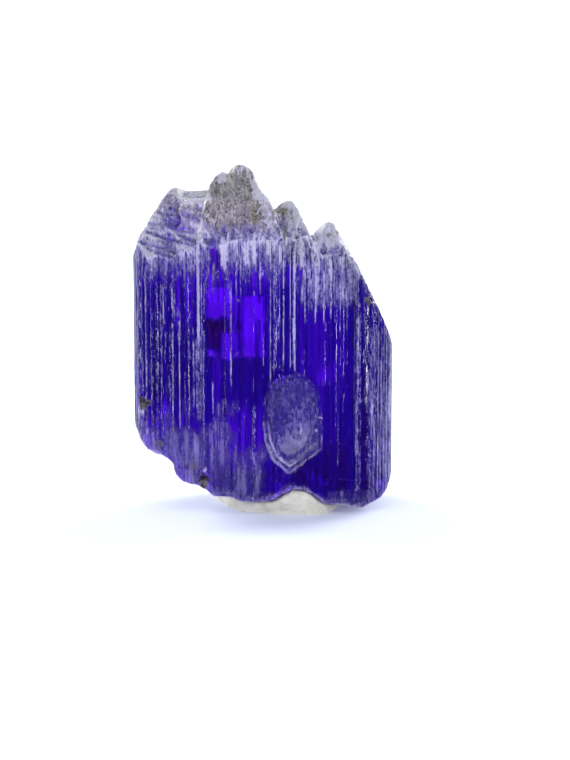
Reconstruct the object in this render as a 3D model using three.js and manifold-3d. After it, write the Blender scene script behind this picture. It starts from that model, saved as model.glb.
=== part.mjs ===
// A natural tanzanite crystal, held upright by the lump of putty that is pressed under it.
//
// Sizes are in millimetres and +Z is up. The broad striated face looks along -Y, and X runs to the right
// across it. The origin is under the middle of the crystal, on the flat foot of the putty. The crystal is one
// solid: columns grown side by side, which share one ribbed prism and end in tips of their own.

import * as THREE from "three";
import { mergeVertices } from "three/addons/utils/BufferGeometryUtils.js";
import Module from "manifold-3d";

const wasm = await Module();
wasm.setup();

// Driving dimensions
const crystalWidth = 19;
const crystalDepth = 8.6;
const crystalTop = 25.3;
const crystalFoot = 0.38;
const puttyHeight = 2.6;
const puttyEdge = 0.55; // how far the putty's edges are rounded
const puttyMiddle = 0.9;
const puttyClearance = 0.1;

const halfWidth = crystalWidth / 2;
const halfDepth = crystalDepth / 2;
const beyond = 3; // how far a cutting shape runs past what it cuts
const weld = 1e-4; // corners closer than this are one corner

// How finely the round shapes are split: an egg's facets are halved this often, and the putty has this many
// points between two of its plan and steps up its edge
const roundness = { dish: 3, shell: 2, pit: 1, hollow: 1, puttyPlan: 3, puttyEdge: 3 };

// The prism seen from above, anticlockwise from the left end of the front.
// Each face starts at its corner and carries ribs: [place along the face, width, height]. A groove has a
// height below 0.
const prismFaces = [
  { corner: [-halfWidth, -1.5], ribs: [[0.45, 0.4, 0.07]] },
  { corner: [-9.15, -2.6], ribs: [[0.5, 0.4, 0.08]] },
  {
    corner: [-8.4, -3.4],
    ribs: [
      [0.1, 0.35, 0.08],
      [0.24, 0.3, -0.1],
      [0.37, 0.3, 0.08],
      [0.53, 0.45, 0.14],
      [0.7, 0.3, -0.09],
      [0.86, 0.4, 0.1],
    ],
  },
  { corner: [-4.75, -3.72], ribs: [] },
  {
    corner: [-4.32, -halfDepth],
    ribs: [
      [0.07, 0.45, -0.12],
      [0.2, 0.35, 0.07],
      [0.37, 0.5, 0.12],
      [0.56, 0.4, -0.1],
      [0.75, 0.3, 0.08],
      [0.92, 0.35, -0.08],
    ],
  },
  { corner: [0.45, -4.22], ribs: [[0.3, 0.3, 0.12], [0.7, 0.35, -0.1]] },
  { corner: [1.75, -4.2], ribs: [[0.3, 0.2, 0.16], [0.75, 0.2, 0.16]] },
  {
    corner: [2.55, -4.12],
    ribs: [
      [0.15, 0.4, -0.1],
      [0.32, 0.3, 0.06],
      [0.5, 0.4, -0.08],
      [0.68, 0.3, 0.09],
      [0.86, 0.35, -0.08],
    ],
  },
  { corner: [6.55, -3.88], ribs: [] },
  { corner: [6.75, -4.14], ribs: [[0.5, 0.2, -0.06]] },
  { corner: [7.2, -4.06], ribs: [[0.5, 0.4, -0.12]] },
  { corner: [8.15, -3.55], ribs: [[0.3, 0.28, 0.1], [0.7, 0.28, 0.1]] },
  { corner: [8.98, -2.75], ribs: [[0.5, 0.35, -0.1]] },
  { corner: [halfWidth, -1.5], ribs: [[0.2, 0.4, -0.1], [0.5, 0.5, -0.12], [0.8, 0.4, -0.08]] },
  { corner: [halfWidth, 1.3], ribs: [[0.5, 0.35, -0.08]] },
  { corner: [9.0, 2.55], ribs: [[0.5, 0.4, 0.1]] },
  { corner: [8.1, 3.45], ribs: [[0.2, 0.4, 0.12], [0.45, 0.35, -0.1], [0.72, 0.5, 0.12]] },
  { corner: [4.7, 4.05], ribs: [[0.5, 0.3, -0.1]] },
  {
    corner: [3.8, 4.12],
    ribs: [
      [0.1, 0.4, 0.1],
      [0.24, 0.5, -0.12],
      [0.4, 0.35, 0.09],
      [0.58, 0.5, -0.1],
      [0.8, 0.45, 0.12],
    ],
  },
  { corner: [-3.6, halfDepth], ribs: [] },
  { corner: [-4.0, 3.95], ribs: [[0.2, 0.4, 0.1], [0.5, 0.5, -0.12], [0.8, 0.4, 0.1]] },
  { corner: [-8.2, 3.35], ribs: [[0.5, 0.4, 0.08]] },
  { corner: [-9.2, 2.2], ribs: [] },
  { corner: [-halfWidth, 1.2], ribs: [[0.25, 0.4, -0.08], [0.6, 0.5, -0.1]] },
];

// The columns' tips. "across" is the outline of a tip seen from the front, as [x, z], and "along" is the same
// tip seen from its side, as [y, z], from the foot of its front slope to the foot of its back slope. "turn"
// swings the front outline about the tip's own peak, in degrees, so that its slopes don't run straight back.
const tips = {
  shoulderCrest: {
    across: [
      [-10.2, 12], [-9.62, 17.1], [-9.33, 18.55], [-8.53, 20.55], [-7.72, 22.0], [-7.13, 23.05],
      [-6.75, 23.5], [-6.35, 23.55], [-5.9, 22.9], [-4.2, 17],
    ],
    along: [
      [-5.4, 17.0], [-4.2, 18.3], [-3.1, 19.5], [-2.1, 21.2], [-1.1, 23.0], [0.3, 23.55], [2.3, 23.2],
      [5.4, 19.2],
    ],
    turn: -8,
  },
  shoulderTop: {
    across: [[-7.4, 17], [-6.6, 22.2], [-6.0, 22.9], [-3.7, 22.96], [-2.3, 17]],
    along: [
      [-5.4, 18.3], [-4.0, 19.3], [-2.9, 20.6], [-2.0, 22.4], [-1.4, 22.9], [3.4, 22.96], [4.0, 22.4],
      [5.4, 20.3],
    ],
    turn: 4,
  },
  leftLobe: {
    across: [
      [-4.95, 17], [-3.87, 23.1], [-3.74, 23.95], [-3.5, 24.5], [-3.1, 24.87], [-2.6, 24.95],
      [-2.1, 24.2], [-0.6, 17],
    ],
    along: [
      [-5.4, 18.8], [-4.0, 20.4], [-2.8, 22.9], [-1.8, 24.4], [-0.9, 24.95], [0.0, 24.5], [1.8, 22.3],
      [5.4, 18.4],
    ],
    turn: -10,
  },
  mainPeak: {
    across: [
      [-3.8, 17], [-2.65, 23.9], [-2.32, 24.8], [-2.1, crystalTop - 0.12], [-1.76, crystalTop],
      [-1.25, 25.12], [-0.88, 24.88], [-0.68, 24.3], [-0.48, 23.7], [0.0, 23.2], [0.4, 22.4], [1.0, 21.1],
      [2.2, 17],
    ],
    along: [
      [-5.4, 18.6], [-4.1, 20.6], [-2.8, 22.5], [-1.6, 24.1], [-0.6, 25.0], [0.2, crystalTop], [0.9, 25.1],
      [2.0, 23.9], [3.4, 21.8], [5.4, 18.6],
    ],
    turn: 8,
  },
  mainFlank: {
    across: [
      [-2.6, 18], [-1.8, 23.3], [-1.4, 23.7], [-1.05, 23.5], [-0.55, 22.8], [-0.05, 22.2], [0.4, 21.4],
      [1.6, 17],
    ],
    along: [[-5.4, 15.5], [-1.0, 20.4], [0.6, 22.4], [1.6, 23.4], [2.2, 23.7], [3.0, 22.9], [5.4, 19.4]],
    turn: 10,
  },
  secondPeak: {
    across: [
      [0.1, 17], [0.92, 21.6], [1.15, 22.35], [1.5, 22.75], [1.9, 22.9], [2.26, 22.7], [2.55, 22.2],
      [3.05, 21.1], [3.5, 19.9], [4.4, 17],
    ],
    along: [
      [-5.4, 18.0], [-4.1, 19.9], [-2.9, 21.4], [-2.0, 22.5], [-1.4, 22.9], [-0.7, 22.6], [0.9, 20.7],
      [5.4, 16.4],
    ],
    turn: 6,
  },
  secondFoot: {
    across: [[1.0, 17], [1.9, 20.7], [2.35, 21.3], [2.8, 21.0], [3.4, 19.6], [4.2, 17]],
    along: [[-5.4, 18.9], [-4.3, 20.3], [-3.5, 21.1], [-2.9, 21.3], [-1.2, 19.8], [5.4, 14]],
    turn: 12,
  },
  rightPeak: {
    across: [
      [2.4, 17], [3.5, 19.3], [3.9, 20.3], [4.38, 21.05], [4.78, 21.35], [5.22, 21.2], [5.5, 20.6],
      [5.75, 20.15], [6.2, 19.45], [7.28, 17.25], [8.38, 14.98], [9.26, 13.0], [9.9, 10.9], [11.6, 6],
    ],
    along: [
      [-5.4, 17.4], [-3.9, 19.4], [-2.7, 20.8], [-1.7, 21.35], [-0.8, 21.1], [1.2, 19.2], [5.4, 15.8],
    ],
    turn: 5,
  },
  rightBack: {
    across: [[-0.6, 17], [1.2, 18.7], [2.4, 19.2], [4.1, 19.0], [6.1, 17.5], [8.6, 12.8], [10.2, 9]],
    along: [[-5.4, 14], [0.2, 18.2], [1.8, 19.0], [2.6, 19.2], [3.6, 18.6], [5.4, 16.2]],
    turn: 7,
  },
};

// The broken underside seen from the front, as [x, z], with the arch over the putty, and how far it rises
// towards the back
const undersideOutline = [
  [-10, 6.5], [-9.3, 5.3], [-8.75, 4.7], [-7.95, 4.2], [-7.1, 3.9], [-6.65, 3.6], [-6.5, 2.85],
  [-6.15, 2.25], [-5.4, 2.02], [-4.6, 1.88], [-4.15, 1.7], [-3.9, 1.42], [-3.4, 1.22], [-2.3, 1.1],
  [-1.9, 1.02], [-1.5, 0.86], [-1.0, 0.8], [-0.2, 0.8], [0.55, 0.94], [1.1, 1.15], [1.4, 1.42],
  [1.75, 1.58], [2.1, 1.8], [2.5, 1.73], [3.0, 1.66], [3.6, 1.46], [3.9, 1.19], [4.3, 0.8], [4.6, 0.63],
  [5.2, 0.57], [6.4, 0.49], [7.1, crystalFoot], [7.6, 0.45], [8.1, 0.6], [8.5, 0.76], [9.03, 1.12],
  [9.3, 1.5], [9.5, 2.1], [10, 3.2],
];
const undersideRise = 7; // degrees

// The front edge of the underside is chipped off in a slope, here more and there less
const rim = { depth: 0.34, slope: 1.15, uneven: 0.09, turn: 2.1 };

// Flutes and scallops that are etched and chipped into the tips. Each row runs from one [x, y] place, seen
// from above, to another. Its hollows run straight down the slope that they lie on.
const hollowRows = [
  { from: [-8.9, -2.75], to: [-4.9, -3.35], count: 6, length: 0.7, width: 0.62 },
  { from: [-8.3, -1.9], to: [-5.0, -2.6], count: 5, length: 0.65, width: 0.5 },
  { from: [-8.9, -0.9], to: [-8.2, 2.4], count: 5, length: 0.9, width: 0.5 },
  { from: [-7.6, -1.2], to: [-4.6, -1.7], count: 5, length: 0.5, width: 0.45 },
  { from: [-3.7, -2.6], to: [0.3, -2.6], count: 10, length: 2.0, width: 0.25 },
  { from: [-2.5, -0.8], to: [-0.9, -0.8], count: 4, length: 1.2, width: 0.24 },
  { from: [1.3, -2.8], to: [3.1, -3.1], count: 5, length: 1.3, width: 0.22 },
  { from: [3.9, -2.9], to: [6.3, -3.0], count: 6, length: 1.3, width: 0.24 },
  { from: [-4.2, -3.95], to: [6.2, -3.7], count: 17, length: 0.7, width: 0.26 },
  { from: [-3.3, 1.6], to: [-0.4, 3.1], count: 6, length: 1.9, width: 0.28 },
  { from: [1.6, 3.5], to: [6.6, 3.2], count: 9, length: 1.6, width: 0.3 },
  { from: [7.3, -2.6], to: [7.7, 2.4], count: 8, length: 2.6, width: 0.36 },
];
const hollowDepth = 0.2;
const hollowRise = 0.42; // how far the tool of a hollow reaches up from its middle
// How uneven the hollows are, in shares of their size, their spacing and their width
const hollowUneven = { size: 0.3, spacing: 0.25, stray: 0.7 };
const hollowTurns = { size: 2.4, stray: 4.1 }; // how fast the unevenness goes round along a row, in radians

// Shell-shaped breaks: [centre, radii, turns about X, Y and Z in degrees]
const breaks = [
  { at: [-6.1, -5.0, 21.5], radii: [1.75, 2.7, 2.1], turn: [0, 18, 0] },
  { at: [-8.1, -4.4, 20.4], radii: [1.3, 1.9, 1.5], turn: [10, -20, 12] },
  { at: [-7.3, -4.75, 18.9], radii: [1.1, 1.3, 0.8], turn: [0, 12, 0] },
  { at: [-5.2, -5.1, 19.2], radii: [1.2, 1.45, 1.0], turn: [0, 8, 0] },
  { at: [-7.2, -3.3, 23.5], radii: [0.9, 1.7, 0.9], turn: [0, 10, 0] },
  { at: [-10.4, 5.9, 20.4], radii: [3.9, 3.7, 4.6], turn: [0, -25, 10] },
  { at: [-8.3, 4.9, 23.0], radii: [2.4, 2.3, 1.9], turn: [20, 10, 0] },
  { at: [7.7, 4.9, 17.6], radii: [2.3, 2.2, 4.0], turn: [-12, -24, 0] },
  { at: [-8.1, -4.5, 3.6], radii: [1.9, 1.3, 1.5], turn: [0, -24, 0] },
  { at: [-5.5, -4.6, 1.4], radii: [1.5, 1.2, 1.2], turn: [0, -12, 0] },
  { at: [9.6, -3.3, 0.6], radii: [0.9, 1.9, 1.2], turn: [0, 20, 0] },
  { at: [-7.6, 5.5, 2.9], radii: [2.9, 2.7, 3.6], turn: [14, 24, 0] },
  { at: [-4.2, 6.2, 2.2], radii: [2.9, 2.9, 2.9], turn: [8, -10, 0] },
  { at: [0.9, 6.6, 1.5], radii: [2.7, 3.3, 4.3], turn: [6, -16, 0] },
  { at: [5.2, 6.1, 2.3], radii: [3.4, 3.0, 3.0], turn: [10, 14, 0] },
  { at: [-9.7, -0.6, 5.0], radii: [1.0, 2.6, 1.6], turn: [0, -30, 0] },
];

// Small pits and nicks, round and deep for their width
const pits = [
  { at: [-8.95, -2.95, 8.3], radii: [0.42, 0.4, 0.6] },
  { at: [-4.4, -4.15, 2.6], radii: [0.42, 0.4, 0.62] },
  { at: [8.5, -3.55, 15.9], radii: [0.45, 0.5, 0.4] },
  { at: [5.75, -4.1, 12.3], radii: [0.28, 0.22, 0.32] },
  { at: [-6.7, -1.2, 24.05], radii: [0.5, 0.7, 0.35] },
  { at: [0.0, -3.2, 22.3], radii: [0.4, 0.7, 0.6] },
];

// The shield-shaped growth mark low on the broad face, as [x, z]
const shieldOutline = [
  [0.44, 9.75], [1.69, 10.35], [2.94, 10.4], [3.97, 9.4], [4.26, 7.3], [4.26, 4.9],
  [1.91, 3.1], [0.66, 4.2], [0.15, 5.5], [0.04, 6.9], [0.22, 8.7],
];
const shieldFace = -4.12; // where the broad face lies at the shield
const shieldSteps = [
  { scale: 1, depth: 0.14 },
  { scale: 0.86, depth: 0.3 },
];
const shieldDish = { at: [2.2, -4.75, 6.3], radii: [1.75, 1.3, 2.7], turn: [0, 12, 0] };

// The finger marks of the putty: waves around its side, which climb as they go, and how far they swell it
const puttyWaves = [
  { around: 5, up: 2, swell: 0.02 },
  { around: 11, up: -3, swell: 0.012 },
];

// The putty seen from above, as [x, y], the first point again at the end
const puttyPlan = [
  [-3.7, 1.6], [-3.1, -0.9], [-2.1, -2.6], [-0.6, -3.75], [1.4, -halfDepth], [3.4, -halfDepth],
  [4.6, -3.9], [5.4, -2.4], [5.7, -0.2], [5.5, 1.8], [4.5, 3.5], [2.4, halfDepth], [-0.6, 4.15],
  [-2.7, 3.4], [-3.7, 1.6],
];

// The hidden broad face is a layer lower inside this outline, as [x, z]
const backLedgeOutline = [
  [-4.3, 10.4], [-2.6, 11.0], [-0.4, 10.7], [0.9, 9.6], [1.1, 1], [-5.0, 1], [-4.8, 7.5],
];
const backLedgeDepth = 0.35;

const degrees = THREE.MathUtils.degToRad;

/** A closed geometry as a solid that can be joined and cut. */
function solidOf(geometry) {
  const bare = geometry.index ? geometry.toNonIndexed() : geometry.clone();
  for (const name of Object.keys(bare.attributes)) {
    if (name !== "position") bare.deleteAttribute(name);
  }
  const merged = mergeVertices(bare, weld);
  const mesh = new wasm.Mesh({
    numProp: 3,
    vertProperties: merged.attributes.position.array,
    triVerts: new Uint32Array(merged.index.array),
  });
  return new wasm.Manifold(mesh);
}

/** The geometry of a solid, with flat faces. */
function geometryOf(solid) {
  const { numProp, vertProperties, triVerts } = solid.getMesh();
  const positions = new Float32Array((vertProperties.length / numProp) * 3);
  for (let i = 0; i < positions.length / 3; i++) {
    positions.set(vertProperties.subarray(i * numProp, i * numProp + 3), i * 3);
  }
  const indexed = new THREE.BufferGeometry();
  indexed.setAttribute("position", new THREE.BufferAttribute(positions, 3));
  indexed.setIndex(new THREE.BufferAttribute(new Uint32Array(triVerts), 1));
  const flat = indexed.toNonIndexed();
  flat.computeVertexNormals();
  return flat;
}

/** An outline of [a, b] points pushed out both ways along its own normal. */
function slab(points, thickness) {
  const shape = new THREE.Shape(points.map(([a, b]) => new THREE.Vector2(a, b)));
  const geometry = new THREE.ExtrudeGeometry(shape, { depth: thickness, bevelEnabled: false });
  return geometry.translate(0, 0, -thickness / 2);
}

/** An outline of [x, z] points, running front to back. */
function seenFromFront(points, thickness = crystalDepth + 4 * beyond) {
  return slab(points, thickness).rotateX(Math.PI / 2);
}

/** An outline of [y, z] points, running left to right. */
function seenFromSide(points) {
  const turned = new THREE.Matrix4().makeBasis(
    new THREE.Vector3(0, 1, 0),
    new THREE.Vector3(0, 0, 1),
    new THREE.Vector3(1, 0, 0),
  );
  return slab(points, crystalWidth + 4 * beyond).applyMatrix4(turned);
}

/** A faceted egg shape: the tool that leaves a shell-shaped break. */
function egg({ at, radii, turn = [0, 0, 0] }, detail) {
  return new THREE.IcosahedronGeometry(1, detail)
    .scale(...radii)
    .rotateX(degrees(turn[0]))
    .rotateY(degrees(turn[1]))
    .rotateZ(degrees(turn[2]))
    .translate(...at);
}

/** The corners of one rib: its two feet on the face and its crest between them. */
function ribPoints(start, end, [place, width, height]) {
  const run = end.clone().sub(start);
  const along = run.clone().normalize();
  const outward = new THREE.Vector2(along.y, -along.x);
  const middle = start.clone().addScaledVector(run, place);
  return [
    middle.clone().addScaledVector(along, -width / 2),
    middle.clone().addScaledVector(outward, height),
    middle.clone().addScaledVector(along, width / 2),
  ];
}

/** The ribbed prism that all the columns share. */
function ribbedPrism() {
  const corners = prismFaces.map((face) => new THREE.Vector2(...face.corner));
  const outline = corners.flatMap((start, i) => {
    const end = corners[(i + 1) % corners.length];
    return [start, ...prismFaces[i].ribs.flatMap((rib) => ribPoints(start, end, rib))];
  });
  const height = crystalTop + beyond;
  return new THREE.ExtrudeGeometry(new THREE.Shape(outline), { depth: height, bevelEnabled: false });
}

/** The highest point of an outline. */
function peakOf(points) {
  return points.reduce((highest, point) => (point[1] > highest[1] ? point : highest));
}

/** One tip: what its front outline and its side outline have in common. */
function tipOf({ across, along, turn }) {
  const [peakX] = peakOf(across);
  const [peakY] = peakOf(along);
  const front = [[across[0][0], -beyond], ...across, [across.at(-1)[0], -beyond]];
  const side = [[along[0][0], -beyond], ...along, [along.at(-1)[0], -beyond]];
  const turned = seenFromFront(front)
    .translate(-peakX, -peakY, 0)
    .rotateZ(degrees(turn))
    .translate(peakX, peakY, 0);
  return solidOf(turned).intersect(solidOf(seenFromSide(side)));
}

/** A row of hollows down the surface of a mesh, uneven in length and depth. */
function hollowRow(mesh, { from, to, count, length, width }) {
  const start = new THREE.Vector2(...from);
  const end = new THREE.Vector2(...to);
  const run = end.clone().sub(start).normalize();
  const aside = new THREE.Vector2(-run.y, run.x).multiplyScalar(width * hollowUneven.stray);
  return Array.from({ length: count }, (_, i) => {
    const uneven = Math.sin(i * hollowTurns.size + from[0]);
    const larger = 1 + hollowUneven.size * uneven;
    const place = start.clone().lerp(end, (i + hollowUneven.spacing * uneven) / (count - 1));
    place.addScaledVector(aside, Math.sin(i * hollowTurns.stray));
    const above = new THREE.Vector3(place.x, place.y, crystalTop + beyond);
    const [hit] = new THREE.Raycaster(above, new THREE.Vector3(0, 0, -1)).intersectObject(mesh);
    const outward = hit.face.normal;
    const downhill = new THREE.Vector3(0, 0, -1).projectOnPlane(outward).normalize();
    const sideways = downhill.clone().cross(outward).negate();
    const tool = new THREE.IcosahedronGeometry(1, roundness.hollow)
      .scale(width * larger, hollowRise, length / larger)
      .applyMatrix4(new THREE.Matrix4().makeBasis(sideways, outward, downhill));
    const middle = hit.point.addScaledVector(outward, hollowRise - hollowDepth * larger);
    return solidOf(tool.translate(middle.x, middle.y, middle.z));
  });
}

/** An outline of the underside closed below, running front to back. */
function closedBelow(outline) {
  return seenFromFront([...outline, [halfWidth + beyond, -beyond], [-halfWidth - beyond, -beyond]]);
}

/** What is missing below the broken underside. */
function belowUnderside() {
  return closedBelow(undersideOutline)
    .translate(0, halfDepth, 0)
    .rotateX(degrees(undersideRise))
    .translate(0, -halfDepth, 0);
}

/** What is chipped off the front edge of the underside. */
function chippedRim() {
  const outline = undersideOutline.map(([x, z], i) => [x, z + rim.uneven * Math.sin(i * rim.turn)]);
  return closedBelow(outline)
    .applyMatrix4(new THREE.Matrix4().makeShear(0, 0, 0, -rim.slope, 0, 0))
    .translate(0, 0, rim.slope * (rim.depth - halfDepth));
}

/** What is missing below the floor. */
function belowFloor() {
  return new THREE.BoxGeometry(2 * crystalWidth, 2 * crystalWidth, beyond).translate(0, 0, -beyond / 2);
}

/** The shield mark: nested steps and a shallow dish, sunk into the broad face. */
function shieldRecess() {
  const middle = shieldOutline
    .reduce(([x, z], point) => [x + point[0], z + point[1]], [0, 0])
    .map((sum) => sum / shieldOutline.length);
  const steps = shieldSteps.map(({ scale, depth }) => {
    const outline = shieldOutline.map((point) => {
      return point.map((value, i) => middle[i] + (value - middle[i]) * scale);
    });
    return solidOf(seenFromFront(outline, 2 * beyond).translate(0, shieldFace + depth - beyond, 0));
  });
  return steps.reduce((sum, step) => sum.add(step), solidOf(egg(shieldDish, roundness.dish)));
}

/** The layer that is missing from the lower part of the hidden broad face. */
function backLedge() {
  const reach = halfDepth - backLedgeDepth + beyond;
  return solidOf(seenFromFront(backLedgeOutline, 2 * beyond).translate(0, reach, 0));
}

/** The whole crystal as one solid. */
function crystalSolid() {
  const columns = Object.values(tips).map(tipOf).reduce((sum, tip) => sum.add(tip));
  const grown = columns.intersect(solidOf(ribbedPrism()));
  const grownMesh = new THREE.Mesh(geometryOf(grown));
  const taken = [
    solidOf(belowUnderside()),
    solidOf(chippedRim()),
    shieldRecess(),
    ...breaks.map((place) => solidOf(egg(place, roundness.shell))),
    ...pits.map((place) => solidOf(egg(place, roundness.pit))),
    ...hollowRows.flatMap((row) => hollowRow(grownMesh, row)),
    backLedge(),
  ];
  return taken.reduce((left, tool) => left.subtract(tool), grown);
}

/** The putty: a hand-pressed lump on a flat foot, with the crystal's underside printed into its top. */
function puttySolid() {
  const foot = new THREE.SplineCurve(puttyPlan.map(([x, y]) => new THREE.Vector2(x, y)));
  const shape = new THREE.Shape(foot.getPoints((puttyPlan.length - 1) * roundness.puttyPlan));
  const lump = new THREE.ExtrudeGeometry(shape, {
    depth: puttyHeight - puttyEdge,
    steps: 2,
    bevelThickness: puttyEdge,
    bevelSize: puttyEdge,
    bevelOffset: -puttyEdge,
    bevelSegments: roundness.puttyEdge,
  });
  const points = lump.attributes.position;
  const point = new THREE.Vector3();
  for (let i = 0; i < points.count; i++) {
    point.fromBufferAttribute(points, i);
    const angle = Math.atan2(point.y, point.x - puttyMiddle);
    const swell = puttyWaves.reduce((sum, wave) => {
      return sum + wave.swell * Math.sin(wave.around * angle + wave.up * point.z);
    }, 1);
    points.setXYZ(i, puttyMiddle + (point.x - puttyMiddle) * swell, point.y * swell, point.z);
  }
  const standing = solidOf(lump).subtract(solidOf(belowFloor()));
  const printed = solidOf(belowUnderside());
  const shifts = [[-1, 0, -1], [0, 0, -1], [1, 0, -1]];
  return shifts.reduce((left, shift) => {
    return left.intersect(printed.translate(shift.map((step) => step * puttyClearance)));
  }, standing);
}

/** One named piece with its own finish. */
function piece(name, solid, finish) {
  const material = new THREE.MeshStandardMaterial({ ...finish, flatShading: true });
  const mesh = new THREE.Mesh(geometryOf(solid), material);
  mesh.name = name;
  return mesh;
}

const part = new THREE.Group();
part.add(piece("tanzanite_crystal", crystalSolid(), { color: 0x3a1ca0, roughness: 0.15, metalness: 0 }));
part.add(piece("putty_base", puttySolid(), { color: 0xdcdcd6, roughness: 0.85, metalness: 0 }));

// The origin is moved under the middle of the whole part.
const middle = new THREE.Box3().setFromObject(part).getCenter(new THREE.Vector3());
for (const mesh of part.children) {
  mesh.geometry.translate(-middle.x, -middle.y, 0);
}

export default part;
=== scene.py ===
"""A natural tanzanite crystal that stands on a lump of putty: its fine surface, its finishes and the studio.

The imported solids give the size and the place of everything. Meshes are worked on in millimetres and handed to
Blender in metres.
"""

import logging
import math
from collections.abc import Callable
from dataclasses import dataclass
from enum import Enum, IntEnum

import bmesh
import bpy
import numpy as np
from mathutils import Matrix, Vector, noise
from mathutils.bvhtree import BVHTree


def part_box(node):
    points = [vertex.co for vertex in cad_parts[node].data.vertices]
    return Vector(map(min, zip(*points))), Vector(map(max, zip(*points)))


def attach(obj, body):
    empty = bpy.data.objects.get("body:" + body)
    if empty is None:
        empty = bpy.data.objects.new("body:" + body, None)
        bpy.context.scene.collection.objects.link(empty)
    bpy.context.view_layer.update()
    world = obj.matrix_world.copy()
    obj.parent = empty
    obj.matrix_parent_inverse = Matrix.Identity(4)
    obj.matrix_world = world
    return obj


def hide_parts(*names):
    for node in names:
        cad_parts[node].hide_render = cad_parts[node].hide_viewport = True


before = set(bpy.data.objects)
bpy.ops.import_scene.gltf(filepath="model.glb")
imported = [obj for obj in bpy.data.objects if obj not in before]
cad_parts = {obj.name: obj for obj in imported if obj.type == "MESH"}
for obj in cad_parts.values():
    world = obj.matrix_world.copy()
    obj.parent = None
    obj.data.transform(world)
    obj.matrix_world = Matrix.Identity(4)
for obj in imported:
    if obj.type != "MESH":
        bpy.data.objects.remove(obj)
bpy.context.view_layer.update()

MILLIMETRE = 0.001

Size = tuple[float, float, float]
Span = tuple[float, float]
Line = tuple[Span, ...]
EdgeTest = Callable[[np.ndarray], np.ndarray]
Socket = bpy.types.NodeSocket
Value = float | tuple | Socket

log = logging.getLogger("tanzanite")


class Axis(IntEnum):
    """The axes of the frame, as columns of an array of points."""

    X = 0
    Y = 1
    Z = 2


class Side(Enum):
    """A side of the prism: the axis along it, the axis that it faces and which way along that."""

    FRONT = (Axis.X, Axis.Y, -1.0)
    BACK = (Axis.X, Axis.Y, 1.0)
    LEFT = (Axis.Y, Axis.X, -1.0)
    RIGHT = (Axis.Y, Axis.X, 1.0)


def smooth_step(values: np.ndarray, low: float, high: float) -> np.ndarray:
    """Rises smoothly from 0 at low to 1 at high, or falls where high is below low."""
    share = np.clip((values - low) / (high - low), 0.0, 1.0)
    return share * share * (3.0 - 2.0 * share)


def band(values: np.ndarray, low: float, high: float, soft: float) -> np.ndarray:
    """Gives 1 between low and high and 0 beyond, with soft edges."""
    return smooth_step(values, low - soft, low + soft) * smooth_step(values, high + soft, high - soft)


def lumps(points: np.ndarray, pitch: Size, shift: float = 0.0) -> np.ndarray:
    """Smooth noise from about -1 to 1 with lumps as large as the pitch. The shift picks one out of many."""
    scaled = points / np.array(pitch) + shift
    return np.array([noise.noise(place) for place in scaled.tolist()])


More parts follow.
